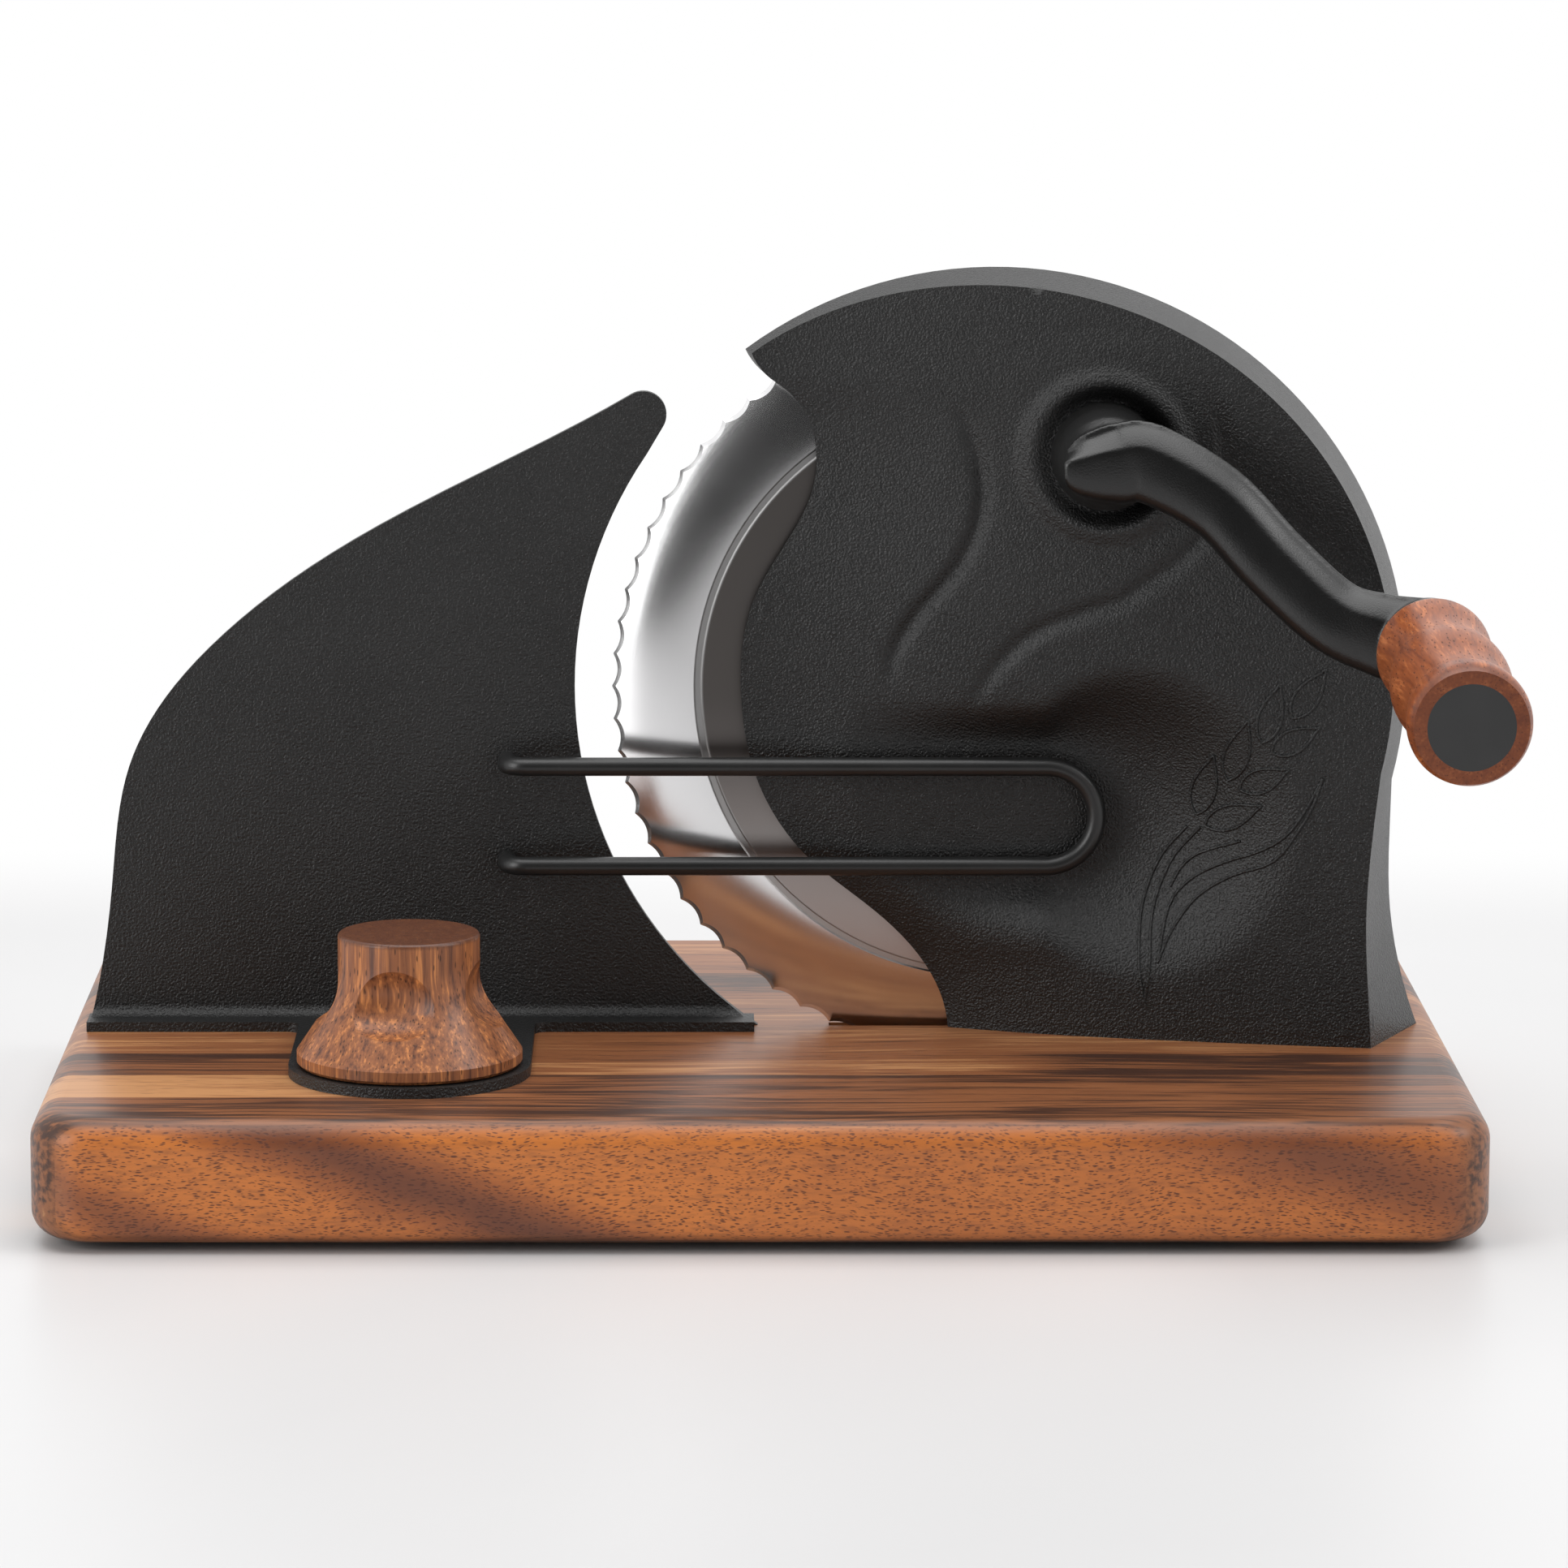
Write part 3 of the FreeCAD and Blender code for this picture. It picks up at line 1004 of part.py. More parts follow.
def make_wire_guard():
    """One bent rod: out of the plate, along in front of the blade, round the loop and back."""
    r = WIRE_BEND_R
    k = r * (1 - math.sqrt(0.5))

    def leg(z):
        turn_in, turn_out = Vector(WIRE_X, WIRE_Y + r, z), Vector(WIRE_X + r, WIRE_Y, z)
        bend = arc(turn_in, Vector(WIRE_X + k, WIRE_Y + k, z), turn_out)
        into_plate = line(Vector(WIRE_X, PLATE_BACK_Y, z), turn_in)
        return [into_plate, bend, line(turn_out, Vector(WIRE_LOOP_X, WIRE_Y, z))]

    loop = arc_about(WIRE_LOOP_X, WIRE_MID_Z, WIRE_LOOP_R, 90, -90, WIRE_Y)
    path = Part.Wire(leg(WIRE_UPPER_Z) + [loop] + leg(WIRE_LOWER_Z)[::-1])
    circle = Part.Circle(Vector(WIRE_X, PLATE_BACK_Y, WIRE_UPPER_Z), Y_AXIS, WIRE_R)
    return path.makePipeShell([Part.Wire(circle.toShape())], True, False)


# ---------------------------------------------------------------- knob and clamp

KNOB_BASE_Z = TAB_TOP + LOOSE_FIT
BOLT_TOP_Z = KNOB_BASE_Z + INSERT_LENGTH - BOLT_TIP_GAP
HEAD_TOP_Z = BOARD_TOP - CHANNEL_ROOF - BOLT_REST_GAP
KNOB_RECESS = WASHER_THICKNESS + LOOSE_FIT


def barrel(radius, bulge_r, half_length):
    """A barrel about the X axis: the cutter that makes a finger scoop."""
    end_r = radius - bulge_r + math.sqrt(bulge_r ** 2 - half_length ** 2)
    left, right = Vector(-half_length, end_r, 0), Vector(half_length, end_r, 0)
    foot_left, foot_right = Vector(-half_length, 0, 0), Vector(half_length, 0, 0)
    bulge = arc(left, Vector(0, radius, 0), right)
    edges = [line(foot_left, left), bulge, line(right, foot_right), line(foot_right, foot_left)]
    return turned(edges, Vector(0, 0, 0), X_AXIS)


def make_knob():
    """A turned knob: a rim, a straight flare, a hollow neck tangent to both, and four scoops."""
    def place(height, radius):
        return Vector(KNOB_X + radius, KNOB_Y, KNOB_BASE_Z + height)

    flare = math.radians(KNOB_FLARE_ANGLE)
    neck_foot_r = KNOB_TOP_R + KNOB_NECK_R * (1 - math.cos(flare))
    neck_foot = KNOB_RIM + (KNOB_BASE_R - neck_foot_r) / math.tan(flare)
    neck_top = neck_foot + KNOB_NECK_R * math.sin(flare)
    neck_middle = place(
        neck_top - KNOB_NECK_R * math.sin(flare / 2), KNOB_TOP_R + KNOB_NECK_R * (1 - math.cos(flare / 2)))
    shoulder = KNOB_EDGE_R * (1 - math.sqrt(0.5))
    top_edge = place(KNOB_HEIGHT - KNOB_EDGE_R, KNOB_TOP_R)
    top_rim = place(KNOB_HEIGHT, KNOB_TOP_R - KNOB_EDGE_R)
    foot, low = place(0, KNOB_BASE_R - KNOB_FOOT_EDGE), place(KNOB_FOOT_EDGE, KNOB_BASE_R)
    rim, neck_start = place(KNOB_RIM, KNOB_BASE_R), place(neck_foot, neck_foot_r)
    neck_end = place(neck_top, KNOB_TOP_R)
    bottom, top = place(0, 0), place(KNOB_HEIGHT, 0)
    knob = turned([
        line(bottom, foot), line(foot, low), line(low, rim), line(rim, neck_start),
        arc(neck_start, neck_middle, neck_end), line(neck_end, top_edge),
        arc(top_edge, place(KNOB_HEIGHT - shoulder, KNOB_TOP_R - shoulder), top_rim),
        line(top_rim, top), line(top, bottom),
    ], bottom, Z_AXIS)
    cuts = [
        cylinder(INSERT_R, INSERT_LENGTH, bottom, Z_AXIS),
        cylinder(WASHER_R + WASHER_RECESS_GAP, KNOB_RECESS, bottom, Z_AXIS),
    ]
    for k in range(SCOOPS):
        scoop = barrel(SCOOP_R, SCOOP_BARREL_R, SCOOP_HALF_LENGTH)
        scoop.translate(Vector(0, -SCOOP_CENTRE_R, SCOOP_CENTRE_HEIGHT))
        scoop.rotate(Vector(0, 0, 0), Z_AXIS, 360.0 * k / SCOOPS - SCOOP_TURN)
        cuts.append(scoop.translated(bottom))
    return knob.cut(cuts)


def make_insert():
    base = Vector(KNOB_X, KNOB_Y, KNOB_BASE_Z + KNOB_RECESS)
    length = INSERT_LENGTH - KNOB_RECESS
    return cylinder(INSERT_R, length, base, Z_AXIS).cut(cylinder(BOLT_R + RUNNING_FIT, length, base, Z_AXIS))


def make_knob_washer():
    base = Vector(KNOB_X, KNOB_Y, KNOB_BASE_Z)
    hole = cylinder(BOLT_R + LOOSE_FIT, WASHER_THICKNESS, base, Z_AXIS)
    return cylinder(WASHER_R, WASHER_THICKNESS, base, Z_AXIS).cut(hole)


def make_clamp_bolt():
    half, neck = BOLT_HEAD / 2, BOLT_NECK / 2
    head_z = HEAD_TOP_Z - BOLT_HEAD_HEIGHT
    neck_z = BOARD_TOP - BOLT_NECK_GAP
    head = block(KNOB_X - half, KNOB_X + half, KNOB_Y - half, KNOB_Y + half, head_z, HEAD_TOP_Z)
    square = block(KNOB_X - neck, KNOB_X + neck, KNOB_Y - neck, KNOB_Y + neck, HEAD_TOP_Z, neck_z)
    stud = cylinder(BOLT_R, BOLT_TOP_Z - HEAD_TOP_Z, Vector(KNOB_X, KNOB_Y, HEAD_TOP_Z), Z_AXIS)
    return joined([head, square, stud])


# ---------------------------------------------------------------- build

feet, foot_screws = make_feet()
keep("board", make_board())
keep("rubber_feet", *feet)
keep("foot_screws", *foot_screws)
keep("housing", make_housing())
housing_screws, screw_washers = make_housing_screws()
keep("housing_screws", *housing_screws)
keep("screw_washers", *screw_washers)
rear_cover, cover_screws = make_rear_cover()
keep("rear_cover", rear_cover)
keep("cover_screws", *cover_screws)
keep("crank_bush", make_bush())
axle, axle_washer, axle_screw = make_axle()
keep("blade_axle", axle)
keep("axle_washer", axle_washer)
keep("axle_screw", axle_screw)

keep("blade", make_blade())
blade_gear, blade_bush, blade_screws = make_blade_drive()
keep("blade_gear", blade_gear)
keep("blade_bush", blade_bush)
keep("blade_screws", *blade_screws)

keep("crank_shaft", d_shaft(SHAFT_FRONT_Y, SHAFT_BACK_Y))
keep("drive_gear", make_drive_gear())
keep("crank_arm", make_crank_arm())
keep("crank_set_screw", set_screw(HUB_BASE_R - PAST))
keep("grip_pin", make_grip_pin())

grip, grip_cap, grip_bush = make_grip()
keep("grip", grip)
keep("grip_cap", grip_cap)
keep("grip_bush", grip_bush)

keep("fence_plate", make_fence_plate())
keep("wire_guard", make_wire_guard())
keep("guide_key", make_guide_key())
keep("key_screws", *make_key_screws())

keep("knob", make_knob())
keep("knob_insert", make_insert())
keep("knob_washer", make_knob_washer())
keep("clamp_bolt", make_clamp_bolt())

boxes = [shape.optimalBoundingBox(False) for shape in parts.values()]
ORIGIN = Vector(
    (min(box.XMin for box in boxes) + max(box.XMax for box in boxes)) / 2,
    (min(box.YMin for box in boxes) + max(box.YMax for box in boxes)) / 2,
    min(box.ZMin for box in boxes))

os.makedirs("parts", exist_ok=True)
for name, shape in parts.items():
    moved = shape.translated(-ORIGIN)
    moved.exportStep(f"parts/{name}.step")
    print(f"{name:16s} solids {len(moved.Solids)} valid {moved.isValid()} volume {moved.Volume:.1f}")
print(f"origin in the working frame: {ORIGIN.x:.4f} {ORIGIN.y:.4f} {ORIGIN.z:.4f}")
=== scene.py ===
# %% [markdown]
# # A bread slicer with a hand crank
# The slicer stands on a laminated walnut board. A cast housing in black textured powder
# coat carries the serrated blade, a bowed crank with a turned wooden grip turns it, and a
# sheet-steel fence with a bent wire guard sets how thick the slices are.
#
# The solid model is loaded first and is never moved. This script dresses it: it gives each
# piece its finish, and adds what is too fine for the solid model.

# %% Load the solid model
import math
import bmesh
import bpy
from mathutils import Matrix, Vector
from mathutils.bvhtree import BVHTree
from mathutils.geometry import interpolate_bezier
from mathutils.kdtree import KDTree


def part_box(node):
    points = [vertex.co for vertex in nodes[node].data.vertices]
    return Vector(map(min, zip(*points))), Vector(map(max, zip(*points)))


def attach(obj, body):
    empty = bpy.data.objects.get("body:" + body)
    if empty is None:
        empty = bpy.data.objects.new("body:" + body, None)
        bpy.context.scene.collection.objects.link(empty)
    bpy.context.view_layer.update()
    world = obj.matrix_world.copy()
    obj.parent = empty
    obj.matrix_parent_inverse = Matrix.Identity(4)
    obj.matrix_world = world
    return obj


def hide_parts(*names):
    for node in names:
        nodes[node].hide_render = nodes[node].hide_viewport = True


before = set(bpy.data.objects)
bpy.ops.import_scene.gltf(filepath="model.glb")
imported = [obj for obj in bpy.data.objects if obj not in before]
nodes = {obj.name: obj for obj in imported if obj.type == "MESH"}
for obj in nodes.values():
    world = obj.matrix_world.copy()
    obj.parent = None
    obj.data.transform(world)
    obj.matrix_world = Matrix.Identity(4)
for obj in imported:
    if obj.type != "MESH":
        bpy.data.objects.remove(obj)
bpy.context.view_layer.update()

MM = 0.001
print("pieces in the solid model:", len(nodes))

# %% [markdown]
# ## Where things are
# All places come from the solid model's own boxes, so that the dressing follows it. The
# blade is a disc about a line along Y, so the middle of its box is its axis. The crank's
# axis is the middle of its round bush.

# %% The axes and the board
def middle(node):
    low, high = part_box(node)
    return (low + high) / 2


blade_axis = middle("blade")
crank_axis = middle("crank_bush")
board_low, board_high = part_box("board")
blade_low, blade_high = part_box("blade")
blade_r = (blade_high.x - blade_low.x) / 2
print("blade radius in mm:", round(blade_r / MM, 2))

# %% [markdown]
# ## A small language for finishes
# A finish is a net of shader nodes. Wiring such a net by hand hides the idea behind it, so
# one class wraps a socket and lets its maths be written as plain arithmetic: 1 - mask adds
# its own Math node.

# %% Sockets that can be added and multiplied
class Level:
    """A number that changes over a surface."""

    def __init__(self, net, socket):
        self.net = net
        self.socket = socket

    def maths(self, operation, first, second=0.0):
        return self.net.add("Math", {"operation": operation}, {0: first, 1: second})

    def __add__(self, other):
        return self.maths("ADD", self, other)

    def __sub__(self, other):
        return self.maths("SUBTRACT", self, other)

    def __rsub__(self, other):
        return self.maths("SUBTRACT", other, self)

    def __mul__(self, other):
        return self.maths("MULTIPLY", self, other)

    def __truediv__(self, other):
        return self.maths("DIVIDE", self, other)

    def __rtruediv__(self, other):
        return self.maths("DIVIDE", other, self)

    def __pow__(self, other):
        return self.maths("POWER", self, other)

    def __rpow__(self, other):
        return self.maths("POWER", other, self)

    __radd__ = __add__
    __rmul__ = __mul__

    def floor(self):
        return self.maths("FLOOR", self)

    def at_least(self, other):
        return self.maths("MAXIMUM", self, other)

    def gap(self, other):
        """How far it is from another number, on either side."""
        return self.maths("ABSOLUTE", self - other)

    def fade(self, start, end):
        """0 at start and 1 at end, with a smooth ramp between."""
        return self.net.add(
            "MapRange", {"interpolation_type": "SMOOTHSTEP"},
            {"Value": self, "From Min": start, "From Max": end})


# %% [markdown]
# ## One method for all nodes
# Every other node comes from one method, which takes the node's kind, its settings and what
# goes into its sockets. The settings come first, because a Mix node for colours has other
# sockets than one for numbers. The world has such a net too, so the method is in a class
# of its own.

# %% A net of nodes
class Net:
    """A node tree that grows one node at a time."""

    def __init__(self, tree):
        self.tree = tree

    def add(self, kind, settings=None, inputs=None, output=0):
        """Any node: its settings first, then the values or links of its sockets."""
        node = self.tree.nodes.new("ShaderNode" + kind)
        for setting, value in (settings or {}).items():
            setattr(node, setting, value)
        for socket, value in (inputs or {}).items():
            self.feed(node.inputs[socket], value)
        return Level(self, node.outputs[output])

    def feed(self, socket, value):
        """Link a level to a socket, or write a plain value or colour into it."""
        if isinstance(value, Level):
            self.tree.links.new(value.socket, socket)
        elif isinstance(value, tuple) and len(value) == 3 and socket.type == "RGBA":
            socket.default_value = (*value, 1.0)
        else:
            socket.default_value = value


# %% A finish and its usual nodes
class Finish(Net):
    """A material made of nodes. Sockets that are the same all over are set on its shader."""

    def __init__(self, name, **constants):
        self.material = bpy.data.materials.new(name)
        self.material.use_nodes = True
        super().__init__(self.material.node_tree)
        self.shader = self.tree.nodes["Principled BSDF"]
        for socket, value in constants.items():
            self.shader.inputs[socket.replace("_", " ")].default_value = value
        self.place = self.add("TexCoord", output="Object")

    def set(self, socket, value):
        self.feed(self.shader.inputs[socket], value)

    def noise(self, where, scale, detail=2.0, roughness=0.5, twist=0.0):
        return self.add(
            "TexNoise",
            inputs={"Vector": where, "Scale": scale, "Detail": detail, "Roughness": roughness,
                    "Distortion": twist})

    def stretched(self, factors, shift=(0.0, 0.0, 0.0), turn=(0.0, 0.0, 0.0), where=None):
        """The place on the piece, with each axis multiplied by its own factor."""
        return self.add(
            "Mapping",
            inputs={"Vector": where or self.place, "Location": shift, "Rotation": turn,
                    "Scale": factors})

    def axis(self, name):
        return self.add("SeparateXYZ", inputs={"Vector": self.place}, output=name)

    def mix(self, share, first, second):
        """A colour between two others."""
        return self.add("Mix", {"data_type": "RGBA"}, {0: share, 6: first, 7: second}, 2)

    def bump(self, height, distance, strength=1.0, normal=None):
        inputs = {"Height": height, "Distance": distance, "Strength": strength}
        if normal is not None:
            inputs["Normal"] = normal
        return self.add("Bump", inputs=inputs)


def wear(finish, *node_names):
    """Give the solid model's own pieces a finish."""
    for name in node_names:
        mesh = nodes[name].data
        mesh.materials.clear()
        mesh.materials.append(finish.material)
    print(finish.material.name, "on", ", ".join(node_names))


# %% [markdown]
# ## Oiled wood
# An image of wood would have seams at the corners, so the wood is worked out in space: noise
# that is stretched along the grain gives the figure, and cells that are stretched the same
# way give the pores, each a short dark dash where the saw cut open a vessel. Whatever face
# is cut from such a block then shows the right side of the same wood.

# %% The parts of a wood
def moved(finish, first, second):
    """One place shifted by another."""
    return finish.add("VectorMath", {"operation": "ADD"}, {0: first, 1: second})


def wavy(wood, where, size, amount):
    """The place, pushed about softly, so that no line of the grain is straight."""
    shift = wood.add("TexNoise", inputs={"Vector": where, "Scale": size}, output="Color")
    push = wood.add("VectorMath", {"operation": "MULTIPLY_ADD"},
                    {0: shift, 1: (amount,) * 3, 2: (-amount / 2,) * 3})
    return moved(wood, where, push)


def pores(wood, where, steps, size=0.22):
    """Dashes in cells that are as long, deep and high as the steps, in metres."""
    cells = wood.stretched(tuple(1.0 / step for step in steps), where=where)
    return 1 - wood.add("TexVoronoi", {"feature": "F1"},
                        {"Vector": cells, "Scale": 1.0, "Randomness": 0.9},
                        output="Distance").fade(size * 0.5, size)


def streaks(wood, where, length, width, detail=3.0):
    """Noise drawn out along the grain."""
    cells = wood.stretched((1.0 / length, 1.0 / width, 1.0 / width), where=where)
    return wood.noise(cells, 1.0, detail, 0.55)


def oiled(name):
    return Finish(name, Specular_IOR_Level=0.4, Coat_Weight=0.1, Coat_Roughness=0.22)


PORE_DEPTH = 0.05 * MM
print("pores are sunk by mm:", PORE_DEPTH / MM)

# %% [markdown]
# ## The board
# The board is glued up from strips of walnut that run along its length, and each strip has
# its own tone. From the number of its strip a place takes a shift of the grain and a tone
# of its own. One strip is golden at its left end. The one behind it is darker at the left,
# and where it runs under the housing it carries a painted shadow.

# %% The strips of the top
STRIP_WIDTH = 25.9 * MM
STRIP_JOINT = board_low.y + 80.4 * MM
GOLDEN_STRIP, BROWN_STRIP = -2, -1
TOP_DARK, TOP_BROWN, TOP_GOLD = (0.055, 0.021, 0.011), (0.27, 0.098, 0.036), (0.56, 0.27, 0.11)


def board_top(wood):
    """The colour of the top, and its pores."""
    x, y = wood.axis("X"), wood.axis("Y")
    strip = ((y - STRIP_JOINT) / STRIP_WIDTH).floor()
    lane = wood.add("CombineXYZ", inputs={"X": strip * 3.17, "Y": strip * 7.31, "Z": strip * 1.9})
    where = wavy(wood, moved(wood, wood.place, lane), 8.0, 0.012)
    tone = wood.add("TexWhiteNoise", {"noise_dimensions": "1D"}, {"W": strip + 0.5}, "Value")
    broad = streaks(wood, where, 0.19, 0.012)
    fine = streaks(wood, where, 0.05, 0.0016, 2.0)
    level = (broad - 0.5) * 1.4 + (fine - 0.5) * 1.3 + (tone - 0.5) * 0.5 + 0.50
    golden = 1 - strip.gap(GOLDEN_STRIP).fade(0.0, 1.0)
    brown = 1 - strip.gap(BROWN_STRIP).fade(0.0, 1.0)
    to_left, housing_shadow = 1 - x.fade(-0.13, -0.04), x.fade(0.05, 0.09)
    # The strip behind the golden one is darker towards the left, and towards the right it carries
    # a painted shadow of the housing.
    level = level + golden * to_left * 0.65 - brown * (to_left * 0.45 + housing_shadow * 0.6) - 0.05
    top = wood.mix(level.fade(0.10, 0.55), TOP_DARK, TOP_BROWN)
    top = wood.mix(level.fade(0.60, 1.15), top, TOP_GOLD)
    lines = pores(wood, where, (0.012, 0.0009, 0.004), 0.20)
    return wood.mix(lines * 0.6, top, (0.035, 0.014, 0.009)), lines


print("strips of the board:", math.ceil((board_high.y - board_low.y) / STRIP_WIDTH))

# %% [markdown]
# ## The front of the board
# The front strip was sawn at a slant to the grain, so its face shows hundreds of short dark
# dashes on orange wood, with a few broad dark bands across it. The bands lean, so they are
# found by a slanted measure: the place to the right plus a share of the height.

# %% The front strip
# Each band: where it meets the upper edge, half its width, and its strength.
DARK_BANDS = ((-0.129, 0.019, 1.8), (0.118, 0.024, 1.3), (-0.222, 0.014, 1.2))
BAND_LEAN = 2.6
FACE_ORANGE, FACE_BROWN = (0.70, 0.226, 0.046), (0.45, 0.135, 0.034)
FACE_DARK = (0.12, 0.040, 0.023)


def board_front(wood):
    """The colour of the front, and its dashes."""
    drift = wood.noise(wood.place, 13.0, 3.0, 0.6)
    slant = wood.axis("X") + (wood.axis("Z") - board_high.z) * BAND_LEAN + (drift - 0.5) * 0.03
    shade = (drift - 0.5) * 0.9
    for place, half, strength in DARK_BANDS:
        shade = shade + (1 - slant.gap(place).fade(0.0, half * 2.0)) * 0.45 * strength
    face = wood.mix(shade.fade(-0.4, 0.4), FACE_ORANGE, FACE_BROWN)
    face = wood.mix(shade.fade(0.0, 1.0), face, FACE_DARK)
    bent = wavy(wood, wavy(wood, wood.place, 22.0, 0.010), 90.0, 0.002)
    dashes = pores(wood, bent, (0.0026, 0.0034, 0.00062), 0.36)
    finer = pores(wood, moved(wood, bent, (0.3, 0.2, 0.1)), (0.0019, 0.003, 0.0005), 0.3)
    dashes = dashes.at_least(finer)
    mist = streaks(wood, bent, 0.006, 0.0011, 2.0)
    face = wood.mix(mist.fade(0.42, 0.75) * 0.45, face, (0.22, 0.075, 0.032))
    return wood.mix(dashes * 0.85, face, (0.075, 0.024, 0.016)), dashes


print("dark bands on the front:", len(DARK_BANDS))

# %% [markdown]
# ## Top and front in one finish
# The board is one mesh, so the front is told from the top by its depth, with a soft change
# over the rounded edge.

# %% The whole board
EDGE_START, EDGE_END = 0.2 * MM, 4.2 * MM


def board_finish():
    wood = oiled("board walnut")
    top, lines = board_top(wood)
    face, dashes = board_front(wood)
    front = 1 - (wood.axis("Y") - board_low.y).fade(EDGE_START, EDGE_END)
    pits = lines * 0.4 * (1 - front) + dashes * front
    wood.set("Base Color", wood.mix(front, top, face))
    wood.set("Roughness", pits * 0.2 + 0.40)
    wood.set("Normal", wood.bump(1 - pits, PORE_DEPTH, 0.5))
    return wood


wear(board_finish(), "board")

# %% [markdown]
# ## The knob and the grip
# The knob is turned from one block with its grain upright, so its neck shows streaks and its
# flare, where the surface lies across the grain, shows dots. The grip is a redder wood whose
# grain runs along it, and its end shows dark end grain. Both are the same idea with the
# grain along another axis, so the place is turned first.

# %% Turned wood
def darker(colour, share):
    return tuple(part * share for part in colour)


def turned_wood(name, turn, tones, stripe, seed, end):
    """The tones are dark, middle and light, and end darkens one end of the piece."""
    dark, middle_tone, light = tones
    wood = oiled(name)
    where = wood.stretched((1.0, 1.0, 1.0), seed, turn)
    where = wavy(wood, where, 30.0, 0.0035)
    broad = streaks(wood, where, 0.05, stripe)
    fine = streaks(wood, where, 0.014, 0.0007, 2.0)
    level = (broad - 0.5) * 1.5 + (fine - 0.5) * 1.2 + 0.5
    colour = wood.mix(level.fade(0.0, 0.55), dark, middle_tone)
    colour = wood.mix(level.fade(0.5, 1.0), colour, light)
    dots = pores(wood, where, (0.0042, 0.0010, 0.0010), 0.26)
    colour = wood.mix(dots * 0.75, colour, darker(dark, 0.3))
    wood.set("Base Color", wood.mix(end(wood), colour, darker(dark, 0.8)))
    wood.set("Roughness", dots * 0.2 + 0.38)
    wood.set("Normal", wood.bump(1 - dots, PORE_DEPTH, 0.5))
    return wood


UPRIGHT = (0.0, math.radians(90.0), 0.0)
LENGTHWISE = (0.0, 0.0, math.radians(90.0))
KNOB_TONES = ((0.095, 0.032, 0.017), (0.31, 0.110, 0.042), (0.70, 0.270, 0.085))
GRIP_TONES = ((0.15, 0.034, 0.010), (0.29, 0.074, 0.019), (0.54, 0.170, 0.052))
grip_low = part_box("grip")[0]
knob_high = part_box("knob")[1]


def knob_top(wood):
    return (wood.axis("Z") - knob_high.z).fade(-0.0016, -0.0002) * 0.85


def grip_end(wood):
    return (1 - (wood.axis("Y") - grip_low.y).fade(0.0012, 0.0036)) * 0.6


wear(turned_wood("knob walnut", UPRIGHT, KNOB_TONES, 0.0020, (0.31, 0.12, 0.0), knob_top),
     "knob")
wear(turned_wood("grip wood", LENGTHWISE, GRIP_TONES, 0.0035, (0.73, 0.41, 0.22), grip_end),
     "grip")

# %% [markdown]
# ## Black paint
# The housing and the fence are powder coated: the paint melts into a hard skin with a fine
# orange-peel texture that spreads every reflection. The crank and the wire have a smoother
# coat of the same black. Both are one recipe with a different size and depth of texture.

# %% Powder coat
def powder_coat(name, black, rough, grain_mm, depth_mm):
    coat = Finish(name, Specular_IOR_Level=0.5)
    peel = coat.noise(coat.place, 1.0 / (grain_mm * MM), 2.0, 0.5)
    dust = coat.noise(coat.place, 35.0, 3.0, 0.6)
    coat.set("Base Color",
             coat.mix(dust.fade(0.3, 0.7), (black * 0.82,) * 3, (black * 1.15,) * 3))
    coat.set("Roughness", rough - 0.05 + dust * 0.1)
    coat.set("Normal", coat.bump(peel, depth_mm * MM))
    return coat


housing_coat = powder_coat("housing powder coat", 0.007, 0.36, 0.6, 0.42)
fence_coat = powder_coat("fence powder coat", 0.009, 0.42, 0.65, 0.42)
crank_coat = powder_coat("crank coat", 0.008, 0.29, 0.45, 0.06)
wire_coat = powder_coat("wire coat", 0.014, 0.34, 0.5, 0.02)
cap_plastic = powder_coat("cap plastic", 0.026, 0.5, 0.3, 0.02)
wear(housing_coat, "housing", "rear_cover")
wear(fence_coat, "fence_plate")
wear(crank_coat, "crank_arm")
wear(wire_coat, "wire_guard")
wear(cap_plastic, "grip_cap")

# %% [markdown]
# ## The blade's steel
# The blade is stainless steel. Its broad bevel is hollow ground and polished, so it mirrors
# its surroundings, and inside the ring groove it is brushed in circles. The hollow is far
# too shallow to model, but it turns the reflections, so the surface normal leans outward
# more and more towards the edge. Fine rings of noise around the axis stand for the brushing.
# Inside the groove the colour itself holds a painted reflection. It is light at the disc's
# foot, where the board would be mirrored, and dark above, where the room would be.

# %% Steel with a ground bevel
BEVEL_START = 76.9 * MM
BEVEL_LEAN = 0.42
GROOVE_START, GROOVE_END = BEVEL_START - 2.6 * MM, BEVEL_START - 2.1 * MM
RINGS_PER_METRE = 9000.0
# The two inner tones are a painted reflection: light below and dark above.
PAINTED_REFLECTION_LOW, PAINTED_REFLECTION_HIGH, POLISHED = (0.66, 0.60, 0.58), (0.12, 0.11, 0.105), (0.86, 0.855, 0.86)


